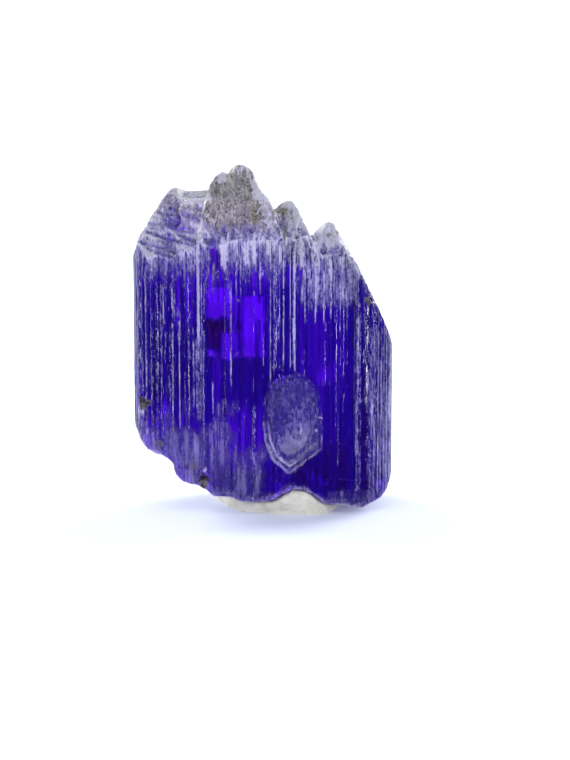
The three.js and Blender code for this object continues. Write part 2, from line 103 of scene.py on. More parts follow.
@dataclass
class Skin:
    """A closed triangle mesh in millimetres that can be cut finer, smoothed and pushed in and out.

    Args:
        points: One row for each corner.
        faces: Three indices into points for each triangle.
    """

    points: np.ndarray
    faces: np.ndarray

    WELD = 0.002  # corners closer than this are one corner
    HAIR = 0.012  # an edge isn't cut closer than this to its ends
    MOST_ROUNDS = 24
    SWELL = -1.03  # how far the surface swells again after it is smoothed

    @classmethod
    def of_node(cls, name: str) -> "Skin":
        """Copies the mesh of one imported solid.

        Args:
            name: The node's name.

        Returns:
            The solid's surface with its shared corners merged.
        """
        work = bmesh.new()
        work.from_mesh(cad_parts[name].data)
        bmesh.ops.remove_doubles(work, verts=work.verts, dist=cls.WELD * MILLIMETRE)
        bmesh.ops.triangulate(work, faces=work.faces)
        points = np.array([corner.co[:] for corner in work.verts]) / MILLIMETRE
        faces = np.array([[corner.index for corner in face.verts] for face in work.faces])
        work.free()
        return cls(points, faces)

    def remeshed(self, pitch: float, levels: Line) -> "Skin":
        """Covers the same solid with an even mesh, which is coarse in height where little happens.

        Args:
            pitch: How far apart the corners are, in millimetres.
            levels: Pairs of a real height and the height that it is squeezed to while the mesh is made.

        Returns:
            The even skin.
        """
        heights, squeezed = zip(*levels)
        points = self.points.copy()
        points[:, Axis.Z] = np.interp(points[:, Axis.Z], heights, squeezed)
        mesh = bpy.data.meshes.new("squeezed")
        mesh.from_pydata(points.tolist(), [], self.faces.tolist())
        helper = bpy.data.objects.new("squeezed", mesh)
        bpy.context.scene.collection.objects.link(helper)
        modifier = helper.modifiers.new("even", "REMESH")
        modifier.mode = "VOXEL"
        modifier.voxel_size = pitch
        made = helper.evaluated_get(bpy.context.evaluated_depsgraph_get()).to_mesh()
        made.calc_loop_triangles()
        points = np.array([corner.co[:] for corner in made.vertices])
        faces = np.array([triangle.vertices[:] for triangle in made.loop_triangles])
        bpy.data.objects.remove(helper)
        bpy.data.meshes.remove(mesh)
        points[:, Axis.Z] = np.interp(points[:, Axis.Z], squeezed, heights)
        return Skin(points, faces)

    def laid_on(self, base: "Skin") -> None:
        """Moves each corner to the nearest place on another skin."""
        tree = BVHTree.FromPolygons(base.points.tolist(), base.faces.tolist())
        self.points = np.array([tree.find_nearest(place)[0][:] for place in self.points.tolist()])

    def edges(self) -> tuple[np.ndarray, np.ndarray]:
        """Lists the edges once each.

        Returns:
            The edges' ends, and for each face the edges that follow its corners.
        """
        sides = np.sort(self.faces[:, [[0, 1], [1, 2], [2, 0]]].reshape(-1, 2), axis=1)
        keys, of_side = np.unique(sides[:, 0] * len(self.points) + sides[:, 1], return_inverse=True)
        ends = np.stack([keys // len(self.points), keys % len(self.points)], axis=1)
        return ends, of_side.reshape(-1, 3)

    def split(self, ends: np.ndarray, of_face: np.ndarray, marked: np.ndarray, share: np.ndarray) -> None:
        """Puts one new corner on each marked edge and parts the faces to fit.

        Args:
            ends: The edges' ends.
            of_face: For each face, its three edges.
            marked: True for each edge that is cut.
            share: For each edge, how far along it the cut lies.
        """
        fresh = np.full(len(ends), -1)
        fresh[marked] = len(self.points) + np.arange(marked.sum())
        first, last = self.points[ends[marked, 0]], self.points[ends[marked, 1]]
        self.points = np.vstack([self.points, first + (last - first) * share[marked, None]])
        middles = fresh[of_face]
        cuts = (middles >= 0).sum(axis=1)
        made = [self.faces[cuts == 0]]
        for k in range(3):
            following = (k + 1) % 3
            chosen = (cuts == 1) & (middles[:, k] >= 0)
            a, b, c = np.roll(self.faces[chosen], -k, axis=1).T
            m = middles[chosen, k]
            made += [np.stack([a, m, c], axis=1), np.stack([m, b, c], axis=1)]
            chosen = (cuts == 2) & (middles[:, k] >= 0) & (middles[:, following] >= 0)
            a, b, c = np.roll(self.faces[chosen], -k, axis=1).T
            m, n = middles[chosen, k], middles[chosen, following]
            made.append(np.stack([m, b, n], axis=1))
            short = self.gap(a, n) < self.gap(m, c)
            made.append(np.where(short[:, None], np.stack([a, m, n], axis=1), np.stack([a, m, c], axis=1)))
            made.append(np.where(short[:, None], np.stack([a, n, c], axis=1), np.stack([m, n, c], axis=1)))
        chosen = cuts == 3
        a, b, c = self.faces[chosen].T
        m, n, o = middles[chosen].T
        for corners in ((a, m, o), (m, b, n), (o, n, c), (m, n, o)):
            made.append(np.stack(corners, axis=1))
        self.faces = np.vstack(made)

    def gap(self, a: np.ndarray, b: np.ndarray) -> np.ndarray:
        """How far apart corners a and b are."""
        return np.linalg.norm(self.points[a] - self.points[b], axis=1)

    def cut(self, axis: Axis, places: np.ndarray, where: EdgeTest) -> None:
        """Puts an edge wherever the surface crosses one of the planes across an axis.

        Args:
            axis: The axis that the planes are square to.
            places: Where the planes are along it, in rising order.
            where: Takes the edges' ends as indices and says which edges may be cut.
        """
        for _ in range(self.MOST_ROUNDS):
            ends, of_face = self.edges()
            start, stop = self.points[ends[:, 0], axis], self.points[ends[:, 1], axis]
            low = np.searchsorted(places, np.minimum(start, stop) + self.HAIR)
            high = np.searchsorted(places, np.maximum(start, stop) - self.HAIR)
            marked = (high > low) & where(ends)
            if not marked.any():
                return
            chosen = places[np.clip((low + high) // 2, 0, len(places) - 1)]
            run = np.where(marked, stop - start, 1.0)
            self.split(ends, of_face, marked, (chosen - start) / run)

    def refine(self, longest: Size, where: EdgeTest | None = None) -> None:
        """Halves the edges that are too long, so that fine relief finds corners to move.

        Args:
            longest: The length in millimetres that an edge may have along X, Y and Z.
            where: Takes the edges' ends as indices and says which edges may be cut. All may without it.
        """
        for _ in range(self.MOST_ROUNDS):
            ends, of_face = self.edges()
            reach = (self.points[ends[:, 0]] - self.points[ends[:, 1]]) / np.array(longest)
            marked = np.linalg.norm(reach, axis=1) > 1.0
            if where is not None:
                marked &= where(ends)
            if not marked.any():
                return
            self.split(ends, of_face, marked, np.full(len(ends), 0.5))

    def face_normals(self) -> np.ndarray:
        """One normal for each face, as long as twice its area."""
        a, b, c = (self.points[self.faces[:, k]] for k in range(3))
        return np.cross(b - a, c - a)

    def gathered(self, values: np.ndarray) -> np.ndarray:
        """Adds up a value of the faces at their corners."""
        return np.bincount(self.faces.ravel(), np.repeat(values, 3), minlength=len(self.points))

    def normals(self) -> np.ndarray:
        """Works out which way the surface looks.

        Returns:
            One unit normal for each corner.
        """
        flat = self.face_normals()
        summed = np.stack([self.gathered(flat[:, axis]) for axis in Axis], axis=1)
        return summed / np.maximum(np.linalg.norm(summed, axis=1, keepdims=True), 1e-12)

    def share_of_faces(self, chosen: np.ndarray) -> np.ndarray:
        """How much of the area round each corner lies in the chosen faces, from 0 to 1."""
        area = np.linalg.norm(self.face_normals(), axis=1)
        return self.gathered(area * chosen) / np.maximum(self.gathered(area), 1e-12)

    def spread(self, values: np.ndarray, rounds: int) -> np.ndarray:
        """Evens values out over neighbouring corners.

        Args:
            values: One number or row for each corner.
            rounds: How often each corner takes the mean of its neighbours.

        Returns:
            The evened values.
        """
        ends, _ = self.edges()
        tally = np.maximum(np.bincount(ends.ravel(), minlength=len(self.points)), 1)
        rows = values.reshape(len(values), -1)
        for _ in range(rounds):
            columns = []
            for column in rows.T:
                sums = np.bincount(ends[:, 0], column[ends[:, 1]], minlength=len(rows))
                sums += np.bincount(ends[:, 1], column[ends[:, 0]], minlength=len(rows))
                columns.append(0.5 * column + 0.5 * sums / tally)
            rows = np.stack(columns, axis=1)
        return rows.reshape(values.shape)

    def soften(self, weight: np.ndarray, rounds: int) -> None:
        """Rounds the surface off without shrinking it.

        Args:
            weight: For each corner, how much it takes part, from 0 to 1.
            rounds: How many times it is smoothed and swollen again.
        """
        for _ in range(rounds):
            for strength in (1.0, self.SWELL):
                moved = self.spread(self.points, 1) - self.points
                self.points = self.points + moved * strength * weight[:, None]

    def ridges(self, rounds: int) -> np.ndarray:
        """How far each corner stands out of what lies within so many steps, in millimetres."""
        away = self.points - self.spread(self.points, rounds)
        return (away * self.normals()).sum(axis=1)

    def push(self, amount: np.ndarray) -> None:
        """Moves each corner along its normal by its own amount in millimetres."""
        self.points = self.points + self.normals() * amount[:, None]

    def keep_inside(self, name: str) -> None:
        """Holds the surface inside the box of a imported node."""
        low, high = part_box(name)
        self.points = np.clip(self.points, np.array(low) / MILLIMETRE, np.array(high) / MILLIMETRE)

    def made(self, name: str, sharp: float, values: dict[str, np.ndarray]) -> bpy.types.Object:
        """Makes the Blender object.

        Args:
            name: The object's name.
            sharp: Edges that turn by more than this many degrees stay crisp.
            values: Numbers for each corner that the finish reads by name.

        Returns:
            The object, in the scene.
        """
        mesh = bpy.data.meshes.new(name)
        mesh.from_pydata((self.points * MILLIMETRE).tolist(), [], self.faces.tolist())
        for key, numbers in values.items():
            mesh.attributes.new(key, "FLOAT", "POINT").data.foreach_set("value", numbers.astype(np.float32))
        mesh.shade_smooth()
        mesh.set_sharp_from_angle(angle=math.radians(sharp))
        piece = bpy.data.objects.new(name, mesh)
        bpy.context.scene.collection.objects.link(piece)
        return piece


@dataclass(frozen=True)
class Striae:
    """The growth lines of one side of the prism: flat lands of uneven height with fine grooves between them.

    Args:
        side: The side.
        start: Where along it the lines begin, in millimetres.
        stop: Where they end.
        seed: Which set of lines.
        narrowest: The width of the narrowest land.
        widest: The width of the widest land.
        step: How far the lands differ in height.
        groove: How deep a groove is.
        groove_half: Half the width of a groove.
        band: Over what height the lands keep their level.
    """

    side: Side
    start: float
    stop: float
    seed: int
    narrowest: float = 0.22
    widest: float = 0.6
    step: float = 0.028
    groove: float = 0.065
    groove_half: float = 0.045
    band: float = 2.6

    TALLEST = 30.0

    def borders(self) -> np.ndarray:
        """Works out how the lands follow each other.

        Returns:
            Where one land meets the next, along the side.
        """
        dice = np.random.default_rng(self.seed)
        most = int((self.stop - self.start) / self.narrowest)
        widths = self.narrowest + (self.widest - self.narrowest) * dice.random(most) ** 1.6
        places = self.start + np.cumsum(widths)
        return places[places < self.stop]

    def places(self) -> np.ndarray:
        """Where the surface needs edges to carry the lines."""
        borders = self.borders()
        return np.sort(np.concatenate([borders - self.groove_half, borders, borders + self.groove_half]))

    def relief(self, along: np.ndarray, height: np.ndarray) -> tuple[np.ndarray, np.ndarray]:
        """How far the lines lift the surface.

        Args:
            along: Places along the side.
            height: Heights above the floor.

        Returns:
            The lift in millimetres, and how much each place is worn, from 0 to 1.
        """
        borders = self.borders()
        dice = np.random.default_rng(self.seed + 1)
        bands = int(self.TALLEST / self.band) + 2
        level = dice.normal(0.0, 1.0, len(borders) + 1)
        drift = dice.normal(0.0, 0.7, (len(borders) + 1, bands))
        deep = dice.random(len(borders)) ** 1.5
        wear = dice.random((len(borders) + 1, bands)) ** 3
        land = np.searchsorted(borders, along)
        row = np.clip(height / self.band, 0, bands - 1.001)
        low = row.astype(int)
        share = smooth_step(row - low, 0.0, 1.0)
        lift = level[land] + drift[land, low] * (1 - share) + drift[land, low + 1] * share
        worn = wear[land, low] * (1 - share) + wear[land, low + 1] * share
        near = np.clip(np.searchsorted(borders, along + self.groove_half), 1, len(borders)) - 1
        away = np.abs(along - borders[near])
        grooved = np.clip(1 - away / self.groove_half, 0, 1) * deep[near]
        return self.step * lift - self.groove * grooved, worn


@dataclass(frozen=True)
class Streak:
    """A narrow frosted line on the broad face, raised or sunk, that runs up the crystal.

    Args:
        x: Its middle.
        low: Where it ends below.
        high: Where it ends above.
        width: How wide it is.
        frost: How white and matte it is, from 0 to 1.
        rise: How far it stands out, or lies sunk below 0.
    """

    x: float
    low: float
    high: float
    width: float
    frost: float
    rise: float = 0.0

    EDGE = 0.045
    FADE = 0.8

    def places(self) -> list[float]:
        """Where the surface needs edges to carry the line."""
        half = self.width / 2
        return [self.x + away for away in (-half - self.EDGE, -half, half, half + self.EDGE)]

    def weight(self, points: np.ndarray) -> np.ndarray:
        """Works out where the line is.

        Args:
            points: Places in millimetres.

        Returns:
            Its share at each of them, from 0 to 1.
        """
        half = self.width / 2
        across = smooth_step(np.abs(points[:, Axis.X] - self.x), half + self.EDGE, half - 0.005)
        return across * band(points[:, Axis.Z], self.low, self.high, self.FADE)


@dataclass(frozen=True)
class Zone:
    """A patch of the broad face with a colour or a polish of its own, or with painted light or shade.

    Args:
        left: Its left end.
        right: Its right end.
        bottom: Its lower end.
        top: Its upper end.
        strength: How strong it is.
        soft: How wide its edge is.
        ragged: How far its edge strays.
        lean: How far it leans to the right for each millimetre that it goes up from its lower end.
    """

    left: float
    right: float
    bottom: float
    top: float
    strength: float = 1.0
    soft: float = 0.3
    ragged: float = 0.35
    lean: float = 0.0

    def levels(self) -> list[float]:
        """Where the surface needs edges to carry the patch's lower and upper end."""
        return [place + away for place in (self.bottom, self.top) for away in (-self.soft, self.soft)]

    def weight(self, points: np.ndarray) -> np.ndarray:
        """Works out where the patch is.

        Args:
            points: Places in millimetres.

        Returns:
            Its share at each of them, from 0 to its strength.
        """
        z = points[:, Axis.Z]
        x = points[:, Axis.X] - self.lean * (z - self.bottom)
        reach = self.soft + 2.0 * self.ragged
        near = (x > self.left - reach) & (x < self.right + reach)
        near &= (z > self.bottom - reach) & (z < self.top + reach)
        close = points[near]
        stray = self.ragged * lumps(close, (0.7, 9.0, 1.1), self.left)
        lines = 1.6 * self.ragged * lumps(close, (0.22, 9.0, 9.0), self.top)
        z = close[:, Axis.Z] + stray + lines
        x = close[:, Axis.X] + stray - self.lean * (z - self.bottom)
        found = np.zeros(len(points))
        found[near] = band(x, self.left, self.right, self.soft) * band(z, self.bottom, self.top, self.soft)
        return self.strength * found


@dataclass(frozen=True)
class Spot:
    """A small round mark with a frayed edge.

    Args:
        x: Its middle.
        z: The height of its middle.
        wide: Half its width.
        high: Half its height.
        strength: How strong it is.
    """

    x: float
    z: float
    wide: float
    high: float
    strength: float = 1.0

    def weight(self, points: np.ndarray) -> np.ndarray:
        """Works out where the mark is.

        Args:
            points: Places in millimetres.

        Returns:
            Its share at each of them, from 0 to its strength.
        """
        away = np.hypot((points[:, Axis.X] - self.x) / self.wide, (points[:, Axis.Z] - self.z) / self.high)
        near = away < 1.6
        away[near] += 0.45 * lumps(points[near], (0.28, 0.28, 0.28), self.z)
        return self.strength * smooth_step(away, 1.1, 0.6)


@dataclass(frozen=True)
class Shield:
    """The shield-shaped growth mark on the broad face, with a painted highlight.

    Args:
        outline: Its corners seen from the front.
        centre: The middle of its painted highlight.
        reach: How far that reaches across and up.
    """

    outline: Line
    centre: Span
    reach: Span = (1.2, 1.9)

    def away(self, points: np.ndarray) -> np.ndarray:
        """Works out how far places are from the outline.

        Args:
            points: Places in millimetres.

        Returns:
            Millimetres inside it for each, or outside it below 0.
        """
        flat = points[:, [Axis.X, Axis.Z]]
        corners = np.array(self.outline)
        nearest = np.full(len(flat), np.inf)
        inside = np.zeros(len(flat), bool)
        for start, stop in zip(corners, np.roll(corners, -1, axis=0)):
            run = stop - start
            share = np.clip((flat - start) @ run / (run @ run), 0.0, 1.0)
            nearest = np.minimum(nearest, np.linalg.norm(flat - start - share[:, None] * run, axis=1))
            if start[1] != stop[1]:
                passed = (start[1] > flat[:, 1]) != (stop[1] > flat[:, 1])
                crossing = start[0] + (flat[:, 1] - start[1]) * run[0] / run[1]
                inside ^= passed & (flat[:, 0] < crossing)
        return np.where(inside, nearest, -nearest)

    def middle(self, points: np.ndarray) -> np.ndarray:
        """How near each point is to the painted highlight's middle, from 0 to 1."""
        across, up = ((points[:, [Axis.X, Axis.Z]] - self.centre) / self.reach).T
        return smooth_step(np.hypot(across, up), 1.1, 0.3)

    def frost(self, points: np.ndarray) -> np.ndarray:
        """Works out how matte and pale the mark is.

        Args:
            points: Places in millimetres.

        Returns:
            Its frost at each of them, from 0 up.
        """
        away = self.away(points) + 0.05 * lumps(points, (0.35, 9.0, 0.35), 1.3)
        x, _, z = points.T
        uneven = 0.5 + 0.5 * lumps(points, (0.5, 9.0, 0.7), 4.4)
        # Paler towards the middle: a painted highlight.
        plate = smooth_step(away, 0.0, 0.2) * (0.5 + 0.16 * uneven + 0.16 * self.middle(points))
        across, up = self.centre
        lower = smooth_step(z, up + 1.6, up - 0.6)
        left = smooth_step(x, across + 0.4, across - 0.4)
        strong = (0.7 + 0.3 * lower + 0.15 * lower * left) * (0.4 + 0.6 * uneven)
        rim = smooth_step(np.abs(away), 0.12, 0.05) * strong
        second = smooth_step(np.abs(away - 0.36), 0.13, 0.05) * lower * (0.5 + 0.5 * left)
        return np.maximum(plate, np.maximum(rim, 1.05 * second))


class NodeSheet:
    """Adds and joins the nodes of one material or world."""

    def __init__(self, holder: bpy.types.Material | bpy.types.World) -> None:
        """Turns the holder's nodes on and clears them.

        Args:
            holder: The new material or world.
        """
        holder.use_nodes = True
        self.tree = holder.node_tree
        self.tree.nodes.clear()

    def feed(self, socket: Socket, value: Value) -> None:
        """Gives an input a value, or links it.

        Args:
            socket: The input.
            value: A number, a colour or an output.
        """
        if isinstance(value, Socket):
            self.tree.links.new(value, socket)
        elif isinstance(value, tuple) and len(value) == 3 and len(socket.default_value) == 4:
            socket.default_value = (*value, 1.0)
        else:
            socket.default_value = value

    def add(self, kind: str, inputs: dict, **settings: str | bool) -> bpy.types.Node:
        """Adds a node.

        Args:
            kind: The node's type.
            inputs: Values or outputs for its inputs, by name or number.
            settings: Its own properties.

        Returns:
            The node.
        """
        node = self.tree.nodes.new(kind)
        for key, value in settings.items():
            setattr(node, key, value)
        for key, value in inputs.items():
            self.feed(node.inputs[key], value)
        return node

    def mix(self, factor: Value, first: Value, second: Value) -> Socket:
        """Mixes two colours. The factor says how much of the second shows."""
        return self.add("ShaderNodeMix", {0: factor, 6: first, 7: second}, data_type="RGBA").outputs[2]

    def between(self, factor: Value, first: Value, second: Value) -> Socket:
        """Mixes two numbers. The factor says how much of the second shows."""
        return self.add("ShaderNodeMix", {0: factor, 2: first, 3: second}, data_type="FLOAT").outputs[0]

    def math(self, operation: str, *numbers: Value, clamped: bool = False) -> Socket:
        """Works one number out of others, which is kept from 0 to 1 if it is clamped."""
        inputs = dict(enumerate(numbers))
        return self.add("ShaderNodeMath", inputs, operation=operation, use_clamp=clamped).outputs[0]

    def ramp(self, value: Value, low: float, high: float, start: float = 0.0, stop: float = 1.0) -> Socket:
        """Goes smoothly from start, where the value is low or less, to stop, where it is high or more."""
        inputs = dict(enumerate((value, low, high, start, stop)))
        return self.add("ShaderNodeMapRange", inputs, interpolation_type="SMOOTHSTEP").outputs[0]

    def stretched(self, place: Value, scale: Size) -> Socket:
        """Scales coordinates by a factor for each axis."""
        return self.add("ShaderNodeVectorMath", {0: place, 1: scale}, operation="MULTIPLY").outputs[0]

    def millimetres(self) -> Socket:
        """The place on the piece, in millimetres."""
        place = self.add("ShaderNodeTexCoord", {}).outputs["Object"]
        return self.stretched(place, (1 / MILLIMETRE,) * 3)

    def noise(self, place: Value, scale: Size, detail: float, roughness: float = 0.55) -> Socket:
        """Makes smooth noise.

        Args:
            place: The coordinates.
            scale: How many lumps there are to a unit of them along each axis.
            detail: How many finer layers it has.
            roughness: How strong those are.

        Returns:
            The noise, from 0 to 1.
        """
        place = self.stretched(place, scale)
        inputs = {"Vector": place, "Scale": 1.0, "Detail": detail, "Roughness": roughness}
        return self.add("ShaderNodeTexNoise", inputs).outputs[0]

    def strewn(self, value: Value, *noises: tuple[Socket, float]) -> Socket:
        """Scatters a value with noises.

        Args:
            value: The value.
            noises: Pairs of a noise from 0 to 1 and how much it counts.

        Returns:
            The value with the noises added, each without its mean.
        """
        for noise, share in noises:
            value = self.math("MULTIPLY_ADD", noise, share, value)
        return self.math("SUBTRACT", value, sum(share for _, share in noises) / 2)

    def attribute(self, name: str) -> Socket:
        """A number that the mesh holds for each corner."""
        return self.add("ShaderNodeAttribute", {}, attribute_name=name).outputs["Fac"]


@dataclass(frozen=True)
class CrystalFinish:
    """Clear, deep violet-blue crystal with frosted growth lines and colourless to smoky tips.

    Args:
        refraction: The index of refraction of zoisite.
        clear: How much light goes in, beside what the frosting scatters.
        taken: How much red, green and blue light a metre of crystal takes away.
        bump_height: How high the finest relief is, in metres.
        painted_night: The body in the dark patches.
        deep: The body where a little light comes through.
        glow: The bright windows.
        veil: Light frosting.
        lilac: Stronger frosting.
        white: The crests of the frosting.
        milk: The cloudy patches on the tips.
        smoke: The light part of the smoky tips.
        brown: Their dark threads.
        olive: The edges of the dirt.
        earth: The middle of the dirt.
    """

    refraction: float = 1.69
    clear: float = 0.7
    taken: Size = (35.0, 70.0, 2.0)
    bump_height: float = 0.00005
    # painted_night: Painted shade: the body in the dark patches.
    painted_night: Size = (0.016, 0.0008, 0.07)
    deep: Size = (0.010, 0.0008, 0.22)
    # glow: Painted light: the bright windows.
    glow: Size = (0.13, 0.003, 1.0)
    veil: Size = (0.075, 0.058, 0.24)
    lilac: Size = (0.30, 0.29, 0.53)
    # white: The crests of the frosting, partly painted glints, and the painted glints on the smoky tips.
    white: Size = (0.97, 0.97, 1.0)
    milk: Size = (0.92, 0.93, 0.97)
    smoke: Size = (0.42, 0.41, 0.32)
    brown: Size = (0.045, 0.036, 0.024)
    olive: Size = (0.24, 0.23, 0.07)
    earth: Size = (0.02, 0.013, 0.008)

    def material(self) -> bpy.types.Material:
        """Builds the material.

        Returns:
            The finish of the whole crystal.
        """
        made = bpy.data.materials.new("violet_blue_crystal")
        sheet = NodeSheet(made)
        place = sheet.millimetres()
        smoke = sheet.attribute("smoke")
        column = sheet.noise(place, (3.4, 3.4, 0.10), 3.0, 0.62)
        fibre = sheet.noise(place, (5.0, 5.0, 0.32), 3.0, 0.6)
        thread = sheet.noise(place, (9.0, 9.0, 0.6), 2.0, 0.6)
        needle = sheet.noise(place, (6.5, 6.5, 1.7), 2.0, 0.65)
        strand = sheet.noise(place, (5.2, 5.2, 0.4), 3.0, 0.65)
        shard = sheet.noise(place, (2.6, 2.6, 2.2), 3.0, 0.65)
        speck = sheet.noise(place, (6.5, 6.5, 4.5), 2.0, 0.65)
        cloud = sheet.noise(place, (0.9, 0.9, 0.7), 3.0)

        # Frosting: from the clear body through a veil and lilac to white, whose white crests and specks are
        # partly painted glints
        along = sheet.between(sheet.attribute("grain"), fibre, shard)
        strewn = sheet.strewn(0.0, (along, 0.9), (thread, 0.9), (needle, 0.9), (speck, 0.6))
        etched = sheet.math("MULTIPLY_ADD", strewn, sheet.attribute("grit"), sheet.attribute("frost"))
        # Painted light and painted shade: the mask lifts the body to the bright windows' colour, streaked by
        # the columns, and drops it to the dark patches' colour
        painted_light = sheet.attribute("glow")
        glow = sheet.math("MULTIPLY", painted_light, sheet.ramp(column, 0.36, 0.64, 0.5, 1.35))
        glow = sheet.math("MAXIMUM", glow, sheet.ramp(painted_light, 0.6, 1.1))
        body = sheet.mix(sheet.ramp(glow, 0.0, 0.2), self.painted_night, self.deep)
        body = sheet.mix(sheet.ramp(glow, 0.15, 1.0), body, self.glow)
        body = sheet.mix(sheet.ramp(etched, 0.3, 0.58), body, self.veil)
        body = sheet.mix(sheet.ramp(etched, 0.56, 0.84), body, self.lilac)
        body = sheet.mix(sheet.ramp(etched, 0.84, 1.1), body, self.white)

        # Smoky and milky tips with painted glints, and dirt
        strands = sheet.strewn(strand, (thread, 0.6))
        smoky = sheet.mix(sheet.ramp(strands, 0.45, 0.57), self.smoke, self.brown)
        smoky = sheet.mix(sheet.ramp(cloud, 0.48, 0.66, 0.0, 0.6), smoky, self.smoke)
        # Painted glints: white flecks on the smoky tips
        smoky = sheet.mix(sheet.ramp(needle, 0.62, 0.68), smoky, self.white)
        drifts = sheet.strewn(smoke, (fibre, 1.0), (thread, 0.8))
        colour = sheet.mix(sheet.ramp(drifts, 0.2, 0.5), body, smoky)
        milky = sheet.strewn(sheet.attribute("pale"), (strand, 1.4), (needle, 0.9), (shard, 0.9))
        colour = sheet.mix(sheet.ramp(milky, 0.3, 0.9), colour, self.milk)
        dirt = sheet.math("MULTIPLY", sheet.attribute("dirt"), sheet.strewn(1.0, (speck, 2.6), (needle, 1.8)))
        colour = sheet.mix(sheet.ramp(dirt, 0.35, 0.6), colour, self.olive)
        colour = sheet.mix(sheet.ramp(dirt, 0.62, 0.85), colour, self.earth)

        # Polish and the finest relief
        half_smoke = sheet.math("MULTIPLY", smoke, 0.5)
        matte = sheet.math("MAXIMUM", sheet.ramp(etched, 0.35, 0.8), half_smoke, clamped=True)
        matte = sheet.math("MAXIMUM", matte, sheet.ramp(dirt, 0.35, 0.6, 0.0, 1.5))
        rough = sheet.ramp(matte, 0.0, 1.0, 0.05, 0.36)
        height = sheet.math("MULTIPLY_ADD", needle, matte, fibre)
        bump = sheet.add("ShaderNodeBump", {"Height": height, "Strength": 0.5, "Distance": self.bump_height})

        inputs = {
            "Base Color": colour,
            "Roughness": rough,
            "IOR": self.refraction,
            "Transmission Weight": self.clear,
            "Normal": bump.outputs[0],
        }
        shader = sheet.add("ShaderNodeBsdfPrincipled", inputs)
        density = max(self.taken)
        kept = tuple(1.0 - taken / density for taken in self.taken)
        inside = sheet.add("ShaderNodeVolumeAbsorption", {"Color": kept, "Density": density})
        sheet.add("ShaderNodeOutputMaterial", {"Surface": shader.outputs[0], "Volume": inside.outputs[0]})
        return made


@dataclass(frozen=True)
class PuttyFinish:
    """Matte off-white putty with faint wrinkles and fine dark specks.

    Args:
        pale: Its clean colour.
        grey: Where it is handled.
        dust: The specks.
        bump_height: How high the finest relief is, in metres.
    """

    pale: Size = (0.66, 0.64, 0.56)
    grey: Size = (0.50, 0.485, 0.43)
    dust: Size = (0.20, 0.18, 0.15)
    bump_height: float = 0.0003

    def material(self) -> bpy.types.Material:
        """Builds the material.

        Returns:
            The finish of the putty.
        """
        made = bpy.data.materials.new("off_white_putty")
        sheet = NodeSheet(made)
        place = sheet.millimetres()
        cloud = sheet.noise(place, (0.8, 0.8, 1.3), 4.0)
        fine = sheet.noise(place, (6.0, 6.0, 8.0), 3.0)
        speck = sheet.noise(place, (7.0, 7.0, 7.0), 1.0)
        colour = sheet.mix(sheet.ramp(cloud, 0.4, 0.7), self.pale, self.grey)
        colour = sheet.mix(sheet.ramp(speck, 0.70, 0.76, 0.0, 0.8), colour, self.dust)
        rough = sheet.ramp(fine, 0.3, 0.7, 0.62, 0.85)
        height = sheet.math("MULTIPLY_ADD", fine, 0.4, cloud)
        bump = sheet.add("ShaderNodeBump", {"Height": height, "Strength": 0.8, "Distance": self.bump_height})
        inputs = {"Base Color": colour, "Roughness": rough, "IOR": 1.45, "Normal": bump.outputs[0]}
        shader = sheet.add("ShaderNodeBsdfPrincipled", inputs)
        sheet.add("ShaderNodeOutputMaterial", {"Surface": shader.outputs[0]})
        return made


